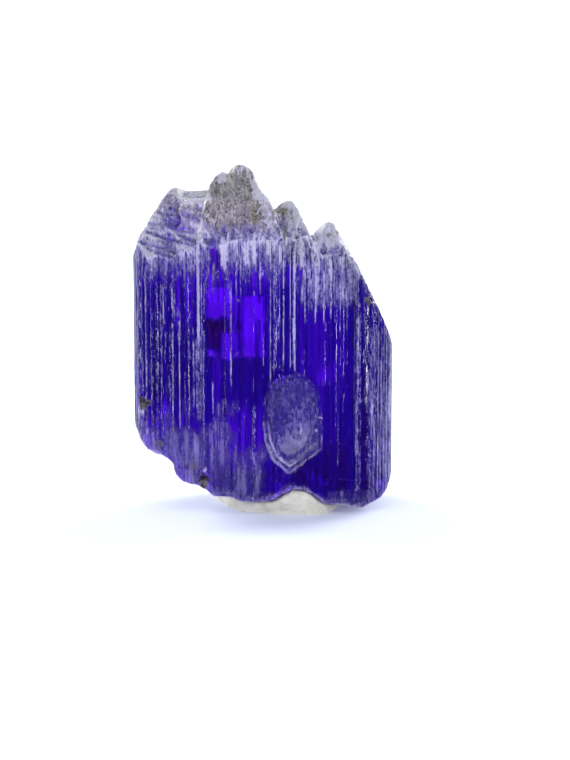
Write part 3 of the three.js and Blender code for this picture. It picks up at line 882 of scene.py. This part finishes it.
@dataclass
class Crystal:
    """The whole crystal: columns grown side by side, striated down their sides and broken at their ends.

    Sizes and places are in millimetres: X to the right as seen from the front, Y away from there and Z up.
    """

    node: str = "tanzanite_crystal"

    # The even mesh, with what real heights are squeezed to for it, and how near two cuts may be
    pitch: float = 0.29
    levels: Line = ((0.0, 0.0), (3.5, 3.5), (15.5, 8.3), (30.0, 22.8))
    closest: float = 0.04

    # How long an edge may be on all ends, on the front of the tips and on the shield
    longest: Size = (0.3, 0.3, 0.3)
    longest_on_tips: Size = (0.14, 0.2, 0.3)
    longest_on_shield: Size = (0.13, 0.13, 0.13)
    tip_foot: float = 18.0
    tip_back: float = 0.6
    crisp: float = 0.2  # patches with an edge softer than this need no cuts

    # A side's lines are cut in a layer of this depth, where the surface faces it squarely enough
    side_depth: float = 1.9
    faces_enough: float = 0.6

    # How far back the streaks and the shield reach
    streaks_back: float = -0.8
    shield_back: float = -2.0

    # Where the broken shoulder sets in and where it is full, along X and along Y
    shoulder_edge: Span = (-4.2, -4.7)
    shoulder_back: Span = (0.6, -0.2)

    # How often all ends are rounded off, how often the shoulder is after that, and what turn stays crisp
    rounds_on_ends: int = 3
    rounds_on_shoulder: int = 16
    sharp: float = 24.0

    # Where the frost of the upper edge and the smoky tips set in and are full, in height and along X
    frost_rises: Span = (14.8, 20.8)
    smoke_rises: Span = (20.0, 23.0)
    smoke_left: Span = (-5.2, -3.8)
    smoke_right: Span = (4.2, 3.2)
    seen_rise: float = 0.2126  # what lies a millimetre further back shows this much higher

    # How white the frost is on the lower edge, the upper edge and the breaks, and what worn lands add
    frost_at_foot: float = 0.66
    frost_at_top: float = 0.95
    frost_on_breaks: float = 0.46
    frost_on_worn: float = 0.2

    # The growth lines of each side, the front first
    growth: tuple[Striae, ...] = (
        Striae(Side.FRONT, start=-9.4, stop=9.4, seed=11, widest=0.66, step=0.011, groove=0.03),
        Striae(Side.BACK, start=-9.4, stop=9.4, seed=23, widest=0.7, step=0.03),
        Striae(Side.LEFT, start=-3.4, stop=3.6, seed=35),
        Striae(Side.RIGHT, start=-3.6, stop=3.6, seed=47),
    )

    # Frosted lines: middle, lower end, upper end, width and frost; the whitest are partly painted glints
    streaks: tuple[Streak, ...] = (
        Streak(-9.1, 5.5, 17.5, 0.12, 0.6),
        Streak(-8.53, 5.0, 18.4, 0.12, 0.72, rise=0.045),
        Streak(-8.07, 5.0, 15.5, 0.08, 0.55),
        Streak(-7.75, 6.0, 17.4, 0.14, 0.5, rise=0.02),
        Streak(-7.43, 4.0, 17.4, 0.14, 0.6),
        Streak(-7.24, 14.0, 17.2, 0.06, 1.05, rise=0.05),
        Streak(-6.8, 8.0, 14.2, 0.1, 0.5),
        Streak(-6.42, 14.2, 16.8, 0.08, 0.75),
        Streak(-6.12, 12.6, 15.5, 0.26, 0.66, rise=0.02),
        Streak(-6.08, 6.0, 13.4, 0.05, 0.92, rise=0.05),
        Streak(-5.43, 9.0, 16.0, 0.08, 0.6),
        Streak(-5.07, 7.0, 14.0, 0.09, 0.7),
        Streak(-4.68, 6.8, 13.6, 0.42, 0.62),
        Streak(-4.36, 6.8, 13.0, 0.08, 0.85),
        Streak(-4.7, 12.8, 20.2, 0.18, 1.5, rise=0.07),
        Streak(-4.44, 12.8, 17.6, 0.05, 0.95, rise=0.04),
        Streak(-4.25, 11.5, 17.8, 0.08, 0.7),
        Streak(-3.65, 7.2, 10.1, 0.06, 0.85),
        Streak(-3.96, 17.6, 20.2, 0.14, 0.95),
        Streak(-2.85, 18.2, 21.0, 0.36, 1.35),
        Streak(-2.33, 9.0, 17.6, 0.1, 0.72, rise=0.02),
        Streak(-1.92, 16.2, 19.4, 0.06, 0.9),
        Streak(-1.6, 16.2, 19.8, 0.05, 0.85),
        Streak(-0.62, 18.6, 21.2, 0.16, 1.45),
        Streak(-1.15, 18.2, 21.0, 0.3, 1.2),
        Streak(-0.2, 16.4, 19.8, 0.1, 0.8),
        Streak(-0.66, 2.6, 8.3, 0.24, 0.62),
        Streak(0.55, 9.6, 20.0, 0.06, 0.9, rise=0.05),
        Streak(0.8, 10.5, 19.6, 0.05, 0.8, rise=0.04),
        Streak(1.28, 18.4, 20.6, 0.2, 1.3),
        Streak(1.12, 12.5, 17.0, 0.07, 0.65),
        Streak(1.5, 10.8, 19.6, 0.06, 0.85, rise=0.045),
        Streak(1.98, 10.8, 20.0, 0.045, 1.4, rise=0.02),
        Streak(2.31, 10.8, 20.0, 0.035, 1.3, rise=0.02),
        Streak(2.78, 18.2, 20.4, 0.16, 1.4),
        Streak(3.06, 14.2, 19.6, 0.05, 1.0),
        Streak(3.3, 15.4, 19.6, 0.06, 0.75),
        Streak(3.52, 15.0, 19.2, 0.06, 0.7),
        Streak(3.8, 14.4, 19.4, 0.05, 1.1),
        Streak(4.1, 15.6, 19.0, 0.06, 0.75),
        Streak(4.42, 14.2, 18.8, 0.05, 1.0),
        Streak(4.92, 14.6, 19.2, 0.06, 1.15),
        Streak(5.25, 14.0, 18.6, 0.06, 0.75),
        Streak(5.6, 13.4, 17.8, 0.05, 1.0),
        Streak(5.47, 3.4, 7.5, 0.08, 0.6, rise=0.02),
        Streak(6.1, 13.6, 17.4, 0.08, 0.7),
        Streak(6.95, 1.4, 15.4, 0.34, 0.62, rise=0.02),
        Streak(6.9, 10.0, 15.2, 0.06, 0.95, rise=0.05),
        Streak(7.85, 1.6, 14.4, 0.12, 0.62),
        Streak(8.12, 1.2, 14.0, 0.08, 0.66),
        Streak(8.4, 1.2, 13.6, 0.06, 0.78, rise=0.045),
        Streak(8.62, 1.2, 13.4, 0.05, 1.05, rise=0.05),
        Streak(9.0, 1.4, 13.0, 0.07, 1.1, rise=0.05),
        Streak(9.3, 2.0, 12.6, 0.07, 0.9),
    )

    # Painted light and painted shade: bright and dark patches of the clear body: left, right, lower and upper
    # end
    painted_windows: tuple[Zone, ...] = (
        Zone(-4.15, -2.35, 14.75, 17.0, soft=0.14, ragged=0.12),
        Zone(-3.05, -2.2, 11.6, 13.6, soft=0.14, ragged=0.1),
        Zone(-4.1, -3.5, 11.85, 12.4, soft=0.12, ragged=0.08),
        Zone(-2.3, 0.2, 11.75, 16.4, strength=0.72, soft=0.16, ragged=0.14),
        Zone(-1.0, 0.05, 14.4, 16.2, soft=0.25, ragged=0.2),
        Zone(-6.6, -4.9, 13.6, 17.4, strength=0.55, soft=0.6),
        Zone(0.6, 5.6, 9.6, 16.4, strength=0.35, soft=0.8),
        Zone(3.8, 5.4, 9.6, 11.2, strength=0.6, soft=0.5),
        Zone(-8.1, -6.6, 5.4, 8.3, strength=0.8, soft=0.6),
        Zone(-9.6, -8.6, 6.4, 11.0, strength=0.7, soft=0.5),
        Zone(-4.6, -2.6, 7.8, 11.6, strength=0.5, soft=0.6),
        Zone(-1.9, -0.3, 4.0, 8.0, strength=0.5, soft=0.4),
        Zone(-9.5, 0.5, 1.5, 7.6, strength=0.45, soft=1.2),
        Zone(-9.5, 9.5, 16.8, 26.0, strength=0.6, soft=1.2),
    )
    painted_shades: tuple[Zone, ...] = (
        Zone(-4.2, -3.05, 12.35, 14.7, soft=0.18, ragged=0.25),
        Zone(-3.1, -1.6, 13.7, 14.6, strength=0.8, soft=0.25, ragged=0.3),
        Zone(-4.2, 2.0, 8.0, 11.5, strength=0.3, soft=0.4, ragged=0.2),
        Zone(2.4, 6.5, 1.4, 5.2, strength=0.6, soft=0.6),
        Zone(7.1, 7.7, 1.0, 14.6, strength=0.6, soft=0.15),
        Zone(-3.9, -3.15, 17.4, 21.0, strength=0.5, soft=0.15),
        Zone(-9.0, -4.9, 8.5, 13.5, strength=0.35, soft=0.6),
    )

    # Patches of frost, and smooth hollows, which get painted light and less frost, and white patches on the
    # tips, given in the same way
    frosted: tuple[Zone, ...] = (
        Zone(-9.6, -4.5, 5.0, 17.4, strength=0.31, soft=0.4),
        Zone(-4.2, -2.2, 0.8, 7.4, strength=0.74, soft=0.5),
        Zone(-3.55, -1.75, 7.6, 8.75, strength=0.7, soft=0.15, ragged=0.3),
        Zone(-2.6, 0.3, 0.8, 5.4, strength=0.62, soft=0.7),
        Zone(-2.4, -1.0, 4.0, 7.8, strength=0.4, soft=0.4),
        Zone(-9.5, -4.0, 1.5, 6.8, strength=0.74, soft=0.9),
        Zone(-8.8, -6.0, 4.6, 8.2, strength=0.5, soft=0.6),
        Zone(7.55, 9.6, 0.3, 14.0, strength=0.7, soft=0.3),
        Zone(-9.6, -8.75, 5.0, 17.8, strength=0.36, soft=0.2),
        Zone(0.4, 2.7, 10.8, 17.5, strength=0.26, soft=0.4),
        Zone(2.7, 7.2, 15.4, 20.4, strength=0.95, soft=0.9),
        Zone(6.4, 9.4, 12.6, 18.4, strength=0.42, soft=0.5),
        Zone(4.6, 9.5, 0.2, 2.1, strength=0.6, soft=0.4),
        Zone(-9.0, -4.6, 17.9, 20.6, strength=0.66, soft=0.5),
        Zone(-5.8, -4.2, 21.6, 23.7, strength=0.8, soft=0.3),
        # A painted highlight: the white rim of the left shoulder.
        Zone(-7.0, -5.4, 23.6, 24.5, soft=0.2),
    )
    hollows: tuple[Zone, ...] = (
        Zone(-7.3, -5.5, 20.4, 23.0, strength=0.6, soft=0.8),
        Zone(-3.9, -3.15, 18.6, 20.6, soft=0.2),
        Zone(-3.9, -0.6, 20.7, 22.3, strength=0.4, soft=0.6),
    )
    milky: tuple[Zone, ...] = (
        Zone(-3.45, -2.6, 24.65, 25.7, strength=0.9, soft=0.2),
        Zone(-2.2, -0.9, 25.3, 26.6, strength=0.5, soft=0.3),
        Zone(0.1, 0.9, 21.3, 25.2, strength=0.8, soft=0.2, lean=-0.33),
        Zone(2.7, 3.7, 21.0, 23.6, strength=0.9, soft=0.2, lean=-0.4),
        Zone(1.3, 3.4, 20.8, 24.0, strength=0.55, soft=0.3),
        Zone(3.6, 6.2, 20.0, 22.4, strength=1.05, soft=0.25),
        Zone(-5.9, -3.95, 23.2, 24.6, strength=1.3, soft=0.2),
    )

    # Dirt and small white marks: middle, height, half the width and half the height
    stained: tuple[Spot, ...] = (
        Spot(-8.8, 8.35, 0.5, 0.62),
        Spot(-4.4, 2.55, 0.45, 0.7),
        Spot(-5.0, 3.7, 0.55, 0.45, strength=0.5),
        Spot(7.6, 16.0, 0.32, 0.34),
        Spot(-1.75, 15.95, 0.24, 0.14, strength=0.6),
        Spot(-0.45, 22.5, 0.65, 1.1, strength=0.6),
        Spot(1.5, 22.6, 0.35, 0.5, strength=0.6),
        Spot(1.6, 21.0, 0.2, 0.8, strength=0.6),
        Spot(4.8, 20.9, 0.25, 0.3, strength=0.55),
        Spot(5.6, 21.1, 0.3, 0.25, strength=0.5),
        Spot(-7.65, 5.3, 0.5, 0.45, strength=0.5),
    )
    white_flecks: tuple[Spot, ...] = (
        Spot(4.15, 7.25, 0.26, 0.08, strength=1.4),
        Spot(3.9, 6.25, 0.12, 0.16, strength=1.4),
        Spot(7.1, 15.6, 0.3, 0.12, strength=1.2),
        Spot(8.0, 15.75, 0.4, 0.07, strength=1.2),
        Spot(-9.0, 7.6, 0.3, 0.42, strength=1.2),
        Spot(-4.25, 3.3, 0.16, 0.2, strength=1.2),
        Spot(-4.6, 2.1, 0.14, 0.18, strength=1.2),
        Spot(-0.35, 10.6, 0.07, 0.16, strength=1.2),
        Spot(6.75, 10.8, 0.08, 0.1, strength=1.2),
    )

    shield: Shield = Shield(
        outline=(
            (0.44, 9.75), (1.69, 10.35), (2.94, 10.4), (3.97, 9.4), (4.26, 7.3), (4.26, 4.9),
            (1.91, 3.1), (0.66, 4.2), (0.15, 5.5), (0.04, 6.9), (0.22, 8.7),
        ),
        centre=(2.6, 6.4),
    )

    # The lower edge, and how far up from it the frost reaches, along X
    foot_line: Line = (
        (-9.5, 5.6), (-8.0, 4.2), (-6.6, 3.5), (-6.2, 2.2), (-4.2, 1.7), (-3.4, 1.2), (-1.0, 0.8),
        (0.6, 0.95), (1.4, 1.4), (2.1, 1.8), (3.0, 1.66), (4.3, 0.8), (5.2, 0.57), (7.1, 0.38), (8.5, 0.76),
        (9.3, 1.5),
    )
    foot_reach: Line = ((-9.5, 2.4), (-2.0, 1.5), (2.5, 0.8), (9.0, 1.0))

    def __post_init__(self) -> None:
        """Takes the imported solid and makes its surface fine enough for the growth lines."""
        solid = Skin.of_node(self.node)
        self.skin = solid.remeshed(self.pitch, self.levels)
        self.cut_finer()
        self.skin.laid_on(solid)

    def cut_finer(self) -> None:
        """Puts edges where the streaks, the growth lines, the patches of painted light and shade and the ends'
        relief need them.
        """
        marks = self.thinned(np.concatenate([streak.places() for streak in self.streaks]))
        front, *others = self.growth
        lines = front.places()
        lines = lines[np.abs(lines[:, None] - marks).min(axis=1) > self.closest]
        self.skin.cut(Axis.X, np.sort(np.concatenate([marks, lines])), self.looking(front.side))
        for striae in others:
            along, _, _ = striae.side.value
            self.skin.cut(along, self.thinned(striae.places()), self.looking(striae.side))
        crisp = [zone for zone in self.painted_windows + self.painted_shades if zone.soft < self.crisp]
        levels = np.array([level for zone in crisp for level in zone.levels() if level < self.tip_foot])
        self.skin.cut(Axis.Z, self.thinned(levels), self.looking(front.side))
        self.skin.refine(self.longest, self.lies_on_an_end)
        self.skin.refine(self.longest_on_tips, self.lies_on_a_tip)
        self.skin.refine(self.longest_on_shield, self.lies_on_the_shield)

    def looking(self, side: Side) -> EdgeTest:
        """Makes the test for edges on one side of the prism.

        Args:
            side: The side.

        Returns:
            A function that takes the edges' ends and says which edges lie there.
        """
        _, axis, sign = side.value
        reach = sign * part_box(self.node)[sign > 0][axis] / MILLIMETRE - self.side_depth

        def test(ends: np.ndarray) -> np.ndarray:
            """Says which edges face the right way and lie near that side of the crystal."""
            near = sign * self.skin.points[ends][:, :, axis].mean(axis=1) > reach
            return near & (sign * self.skin.normals()[ends][:, :, axis].mean(axis=1) > self.faces_enough)

        return test

    def thinned(self, places: np.ndarray) -> np.ndarray:
        """Leaves out cutting places that crowd each other.

        Args:
            places: Where the cuts are wanted.

        Returns:
            Those that are kept, in rising order.
        """
        kept = [-math.inf]
        for place in np.sort(places):
            if place - kept[-1] > self.closest:
                kept.append(place)
        return np.array(kept[1:])

    def lies_on_an_end(self, ends: np.ndarray) -> np.ndarray:
        """Says which edges lie on the tips, the breaks and the underside."""
        upright = self.skin.share_of_faces(self.upright_faces())
        return upright[ends].mean(axis=1) < 0.5

    def lies_on_a_tip(self, ends: np.ndarray) -> np.ndarray:
        """Says which edges lie on the front of the tips and the upper breaks.

        Args:
            ends: The edges' ends as indices.

        Returns:
            True for each edge that lies there.
        """
        middles = self.skin.points[ends].mean(axis=1)
        fronts = (middles[:, Axis.Z] > self.tip_foot) & (middles[:, Axis.Y] < self.tip_back)
        return fronts & (self.skin.normals()[ends][:, :, Axis.Z].mean(axis=1) > 0.12)

    def lies_on_the_shield(self, ends: np.ndarray) -> np.ndarray:
        """Says which edges lie on the shield mark or close round it."""
        middles = self.skin.points[ends].mean(axis=1)
        return (self.shield.away(middles) > -0.25) & (middles[:, Axis.Y] < self.shield_back)

    def upright_faces(self) -> np.ndarray:
        """Tells the prism's sides from what slopes.

        Returns:
            For each face, 1 on a side of the prism and 0 where it slopes.
        """
        flat = self.skin.face_normals()
        steep = np.linalg.norm(flat[:, :2], axis=1) / np.maximum(np.linalg.norm(flat, axis=1), 1e-12)
        return smooth_step(steep, 0.93, 0.985)

    def facing(self, side: Side) -> np.ndarray:
        """Tells which corners belong to a side of the prism.

        Args:
            side: The side.

        Returns:
            How much each corner's surroundings face that way, from 0 to 1.
        """
        _, axis, sign = side.value
        flat = self.skin.face_normals()
        towards = sign * flat[:, axis] / np.maximum(np.linalg.norm(flat, axis=1), 1e-12)
        return self.skin.share_of_faces(smooth_step(towards, 0.45, 0.75))

    def shape_sides(self) -> None:
        """Rounds the tips and breaks off and lays the growth lines on the sides."""
        skin = self.skin
        self.upright = skin.share_of_faces(self.upright_faces())
        self.ends = 1.0 - self.upright
        facing = [self.facing(striae.side) for striae in self.growth]
        skin.soften(self.ends, self.rounds_on_ends)
        self.shoulder = smooth_step(skin.points[:, Axis.X], *self.shoulder_edge)
        self.shoulder *= smooth_step(skin.points[:, Axis.Y], *self.shoulder_back)
        skin.soften(self.ends * self.shoulder, self.rounds_on_shoulder)
        self.smooth = skin.points  # the corners before the relief
        self.lift = np.zeros(len(self.smooth))
        self.worn = np.zeros(len(self.smooth))
        for striae, share in zip(self.growth, facing):
            along, _, _ = striae.side.value
            height, worn = striae.relief(self.smooth[:, along], self.smooth[:, Axis.Z])
            self.lift += height * share * self.upright
            self.worn += worn * share * self.upright

    def find_regions(self) -> None:
        """Finds the front, the lower edge, the upper edge, the tips and their hollows, each from 0 to 1."""
        x, y, z = self.smooth.T
        self.near = y < 0.0
        self.shield_side = y < self.shield_back
        self.seen = self.smooth.copy()
        self.seen[:, Axis.Z] += self.seen_rise * (y - y.min())
        above = z - np.interp(x, *zip(*self.foot_line))
        reach = np.interp(x, *zip(*self.foot_reach)) * (1 + 0.5 * lumps(self.smooth, (0.6, 9, 9)))
        self.low = smooth_step(above / reach, 1.25, 0.35)
        ragged = 0.9 * lumps(self.smooth, (0.3, 0.3, 8.0), 3.1)
        ragged += 0.8 * lumps(self.smooth, (1.6, 1.6, 8.0), 5.2)
        self.upper = smooth_step(z + ragged, *self.frost_rises)
        self.tip = smooth_step(z + 0.5 * ragged, *self.smoke_rises)
        self.hollow = self.marked(self.hollows)

    def marked(self, marks: tuple[Zone, ...] | tuple[Spot, ...]) -> np.ndarray:
        """Adds up marks on the front, where they show in the photograph's view."""
        return sum(mark.weight(self.seen) for mark in marks) * self.near

    def frost_surface(self) -> None:
        """Frosts the worn lands, the streaks, the patches, the lower and upper edge and the breaks."""
        frost = self.frost_on_worn * self.worn
        self.lined = np.zeros(len(self.smooth))
        for streak in self.streaks:
            weight = streak.weight(self.smooth) * (self.smooth[:, Axis.Y] < self.streaks_back)
            self.lift += streak.rise * weight * self.upright
            frost = np.maximum(frost, streak.frost * weight)
            self.lined = np.maximum(self.lined, weight)
        for zone in self.frosted:
            frost = np.maximum(frost, zone.weight(self.seen) * self.near * (0.75 + 0.5 * self.worn))
        foot = self.frost_at_foot * self.low * self.near
        breaks = (self.frost_on_breaks - 0.1 * self.shoulder) * self.ends
        frost = np.max([frost, foot, self.frost_at_top * self.upper, breaks], axis=0)
        self.frost = frost * (1.0 - 0.7 * self.hollow)

    def etch_ends(self) -> None:
        """Adds lumps and fibres to the tips and breaks, and shell-shaped waves to the shoulder."""
        fibres = lumps(self.smooth, (0.2, 0.2, 1.1), 9.3)
        coarse = lumps(self.smooth, (0.8, 0.8, 0.7), 12.6)
        fine = lumps(self.smooth, (0.3, 0.3, 0.26), 15.9)
        bent = self.smooth + self.smooth[:, [Axis.Z, Axis.X, Axis.X]] * (0.0, 0.3, 0.25)
        waves = lumps(bent, (1.3, 1.3, 0.3), 21.7) * self.ends * self.shoulder
        self.lift += 0.05 * waves
        self.frost += 0.55 * waves
        rough = (0.05 - 0.02 * self.tip) * coarse + (0.045 - 0.035 * self.tip) * fine
        self.lift += self.ends * (rough + 0.06 * fibres * self.tip)
        self.lift += self.upright * self.upper * 0.03 * lumps(self.smooth, (0.13, 0.13, 0.5), 18.2)

    def paint_light_and_shade(self) -> None:
        """Paints light into the bright windows and the hollows, and paints shade into the dark patches."""
        glow = np.full(len(self.smooth), 0.3)
        for zone in self.painted_windows:
            glow = np.maximum(glow, zone.weight(self.smooth))
        for zone in self.painted_shades:
            glow *= 1.0 - zone.weight(self.smooth)
        self.glow = np.maximum(glow, 0.45 * self.hollow)

    def frost_crests_and_shade_troughs(self) -> None:
        """Frosts what stands out of the finished relief, partly as wear and partly as a painted highlight, and
        paints shade into what lies deep in it.
        """
        ridge = self.skin.ridges(2)
        shown = 1.0 - 0.8 * self.hollow
        self.crest = smooth_step(ridge, 0.004, 0.018) * shown
        self.trough = smooth_step(-ridge, 0.003, 0.015) * shown
        self.frost += (0.08 + 0.37 * self.ends) * self.crest - (0.1 + 0.2 * self.ends) * self.trough
        # Painted shade: less painted light in the troughs.
        self.glow *= 1.0 - 0.6 * self.trough

    def mark_front(self) -> None:
        """Lays the shield, with its painted highlight, and the small white flecks over the frost."""
        points = self.skin.points
        away = self.shield.away(points)
        square = smooth_step(np.abs(self.skin.normals()[:, Axis.Y]), 0.3, 0.6)
        mark = self.shield.frost(points) * self.shield_side * square
        self.frost = np.where(away * self.shield_side > 0, mark, np.maximum(self.frost, mark))
        for fleck in self.white_flecks:
            self.frost = np.maximum(self.frost, fleck.weight(points) * self.near)
        self.on_shield = smooth_step(away, 0.0, 0.1) * self.shield_side

    def looks(self) -> dict[str, np.ndarray]:
        """Puts together what the finish reads.

        Returns:
            For each name, one number for each corner.
        """
        x, _, z = self.smooth.T
        smoke = self.tip * smooth_step(x, *self.smoke_left) * smooth_step(x, *self.smoke_right)
        smoke = np.maximum(smoke, 0.35 * self.tip) * (1 - 0.5 * self.trough)
        etched = self.ends * (1.0 - 0.6 * self.tip)
        grain = np.max([self.low, etched, 0.25 * self.upper, 0.6 * self.lined, self.on_shield], axis=0)
        plain = 1.0 - self.lined
        grit = 0.8 + 0.8 * np.maximum(0.8 * self.upper * self.upright, self.lined) - 0.3 * self.low * plain
        grit *= (1.0 - 0.8 * self.hollow) * (1.0 - 0.35 * smooth_step(z, 9.0, 6.0) * plain)
        # Stronger frost noise towards the shield's painted highlight.
        on_shield = 0.45 + 0.5 * self.shield.middle(self.skin.points)
        return {
            "frost": np.clip(self.frost, 0, 1.4),
            "grain": np.clip(grain, 0, 1),
            "grit": np.clip(np.where(self.on_shield > 0.5, on_shield, grit), 0, 2),
            "glow": np.clip(self.glow, 0, 1),
            "smoke": np.clip(smoke, 0, 1),
            # The crests of the ends are paler as well: partly wear, partly a painted highlight.
            "pale": np.clip(self.marked(self.milky) + 0.4 * self.crest * self.ends, 0, 1),
            "dirt": np.clip(self.marked(self.stained), 0, 1),
        }

    def build(self) -> bpy.types.Object:
        """Shapes the surface and makes the object.

        Returns:
            The crystal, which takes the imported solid's place.
        """
        self.shape_sides()
        self.find_regions()
        self.frost_surface()
        self.etch_ends()
        self.paint_light_and_shade()
        self.skin.push(self.lift)
        self.skin.keep_inside(self.node)
        self.frost_crests_and_shade_troughs()
        self.mark_front()
        piece = self.skin.made("crystal_surface", self.sharp, self.looks())
        piece.data.materials.append(CrystalFinish().material())
        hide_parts(self.node)
        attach(piece, "root")
        return piece


@dataclass
class Putty:
    """The hand-pressed lump of putty under the crystal.

    Args:
        node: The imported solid.
        longest: How long an edge may be, in millimetres.
        foot: Between which heights the flat foot turns into the free surface.
        dents: How deep the broad dents are.
        wrinkles: How deep the fine ones are.
        sharp: Edges that turn by more than this many degrees stay crisp.
    """

    node: str = "putty_base"
    longest: Size = (0.4, 0.4, 0.4)
    foot: Span = (0.02, 0.2)
    dents: float = 0.08
    wrinkles: float = 0.045
    sharp: float = 50.0

    def build(self) -> bpy.types.Object:
        """Shapes the surface and makes the object.

        Returns:
            The lump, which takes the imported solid's place.
        """
        skin = Skin.of_node(self.node)
        skin.refine(self.longest)
        free = smooth_step(skin.points[:, Axis.Z], *self.foot)
        skin.soften(free, 4)
        uneven = self.dents * lumps(skin.points, (1.1, 1.1, 0.8), 2.4)
        uneven += self.wrinkles * lumps(skin.points, (0.5, 0.5, 0.4), 4.8)
        skin.push(uneven * free)
        skin.keep_inside(self.node)
        piece = skin.made("putty_lump", self.sharp, {})
        piece.data.materials.append(PuttyFinish().material())
        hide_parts(self.node)
        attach(piece, "root")
        return piece


@dataclass
class Studio:
    """The pale floor, the soft light and the camera at the photograph's angle.

    Args:
        elevation: How far above the horizon the camera stands, in degrees.
        distance: How far it is from what it looks at, in metres.
        shown_height: How much height the picture takes in there, in metres.
        aim: What it looks at, in metres.
        floor_size: How wide the floor is, in metres.
        floor_colour: Its colour.
        sun_power: The power of each sun.
        sun_width: How wide each looks, in degrees.
        sun_run: Where the left one's light goes. The right one mirrors it.
        strip_size: The width and height of a soft box, in metres.
        strip_aim: What the soft boxes look at, in metres.
        strips: Each soft box with its name, its place in metres and its power in watts.
    """

    elevation: float = 12.0
    distance: float = 0.2
    shown_height: float = 0.0565
    aim: Size = (0.00160, 0.0, 0.00923)
    floor_size: float = 6.0
    floor_colour: Size = (0.68, 0.72, 0.86)
    sun_power: float = 3.9
    sun_width: float = 34.0
    sun_run: Size = (0.68, -0.6, -0.42)
    strip_size: Span = (0.02, 0.24)
    strip_aim: Size = (0.0, 0.0, 0.012)
    strips: tuple[tuple[str, Size, float], ...] = (
        ("left_light", (-0.22, -0.08, 0.06), 0.18),
        ("right_light", (0.22, -0.07, 0.07), 0.30),
    )

    def aimed(self, name: str, data: bpy.types.ID, towards: Vector) -> bpy.types.Object:
        """Puts a camera or a light into the scene and turns it.

        Args:
            name: Its name.
            data: The camera or light.
            towards: Where it looks.

        Returns:
            The object.
        """
        made = bpy.data.objects.new(name, data)
        made.rotation_mode = "QUATERNION"
        made.rotation_quaternion = towards.to_track_quat("-Z", "Y")
        bpy.context.scene.collection.objects.link(made)
        return made

    def camera(self) -> None:
        """Places the camera."""
        data = bpy.data.cameras.new("camera")
        data.sensor_width = 36.0
        data.lens = data.sensor_width * self.distance / self.shown_height
        data.clip_start, data.clip_end = 0.005, 20.0
        angle = math.radians(self.elevation)
        back = Vector((0.0, -math.cos(angle), math.sin(angle)))
        made = self.aimed("camera", data, -back)
        made.location = Vector(self.aim) + back * self.distance
        bpy.context.scene.camera = made

    def strip(self, name: str, place: Size, power: float) -> None:
        """Hangs a soft box that the growth lines show as thin glints.

        Args:
            name: Its name.
            place: Where it is, in metres.
            power: Its power in watts.
        """
        data = bpy.data.lights.new(name, "AREA")
        data.shape = "RECTANGLE"
        data.size, data.size_y = self.strip_size
        data.energy = power
        made = self.aimed(name, data, Vector(self.strip_aim) - Vector(place))
        made.location = place
        made.visible_diffuse = False

    def sun(self, name: str, mirrored: int) -> None:
        """Adds a wide soft light from far behind the crystal.

        Args:
            name: Its name.
            mirrored: 1 for the left one and -1 for the right one.
        """
        data = bpy.data.lights.new(name, "SUN")
        data.energy = self.sun_power
        data.angle = math.radians(self.sun_width)
        across, forward, down = self.sun_run
        made = self.aimed(name, data, Vector((mirrored * across, forward, down)))
        made.visible_glossy = False

    def floor(self) -> None:
        """Lays the pale floor."""
        bpy.ops.mesh.primitive_plane_add(size=self.floor_size, location=(0.0, 0.0, 0.0))
        made = bpy.context.object
        made.name = "floor"
        material = bpy.data.materials.new("pale_floor")
        sheet = NodeSheet(material)
        inputs = {"Base Color": self.floor_colour, "Roughness": 0.9, "Specular IOR Level": 0.0}
        shader = sheet.add("ShaderNodeBsdfPrincipled", inputs)
        sheet.add("ShaderNodeOutputMaterial", {"Surface": shader.outputs[0]})
        made.data.materials.append(material)
        made.visible_glossy = False
        made.visible_transmission = False

    def world(self) -> None:
        """Surrounds the scene with light: soft above, bright low in front and far behind, and dim below.

        The camera sees plain white.
        """
        made = bpy.data.worlds.new("studio")
        bpy.context.scene.world = made
        sheet = NodeSheet(made)
        direction = sheet.add("ShaderNodeTexCoord", {}).outputs["Generated"]
        parts = sheet.add("ShaderNodeSeparateXYZ", {0: direction})
        back, up = parts.outputs["Y"], parts.outputs["Z"]
        below = sheet.ramp(back, 0.3, 1.0, 0.015, 1.5)
        low = sheet.ramp(up, 0.2, 0.55, 1.0, 0.0)
        front = sheet.math("MULTIPLY", sheet.ramp(back, -0.6, 0.2, 1.5, 0.0), low)
        level = sheet.between(sheet.ramp(up, 0.0, 0.12), below, sheet.math("ADD", front, 1.0))
        seen = sheet.add("ShaderNodeLightPath", {}).outputs["Is Camera Ray"]
        around = sheet.add("ShaderNodeBackground", {0: (0.94, 0.96, 1.0), 1: level})
        white = sheet.add("ShaderNodeBackground", {0: (1.0, 1.0, 1.0), 1: 1.0})
        both = sheet.add("ShaderNodeMixShader", {0: seen, 1: around.outputs[0], 2: white.outputs[0]})
        sheet.add("ShaderNodeOutputWorld", {"Surface": both.outputs[0]})

    def build(self) -> None:
        """Sets the whole studio up."""
        scene = bpy.context.scene
        scene.view_settings.view_transform = "Standard"
        scene.cycles.max_bounces = 24
        scene.cycles.transmission_bounces = 20
        scene.cycles.glossy_bounces = 12
        scene.cycles.sample_clamp_indirect = 6.0
        scene.cycles.use_denoising = True
        self.camera()
        self.floor()
        self.world()
        self.sun("left_sun", 1)
        self.sun("right_sun", -1)
        for name, place, power in self.strips:
            self.strip(name, place, power)


def main() -> None:
    """Builds the studio, the crystal and the putty, and reports each piece."""
    logging.basicConfig(level=logging.INFO, format="%(name)s: %(message)s")
    Studio().build()
    for sub_assembly in (Crystal, Putty):
        piece = sub_assembly().build()
        log.info("%s: %d triangles", piece.name, len(piece.data.polygons))


if __name__ == "__main__":
    main()
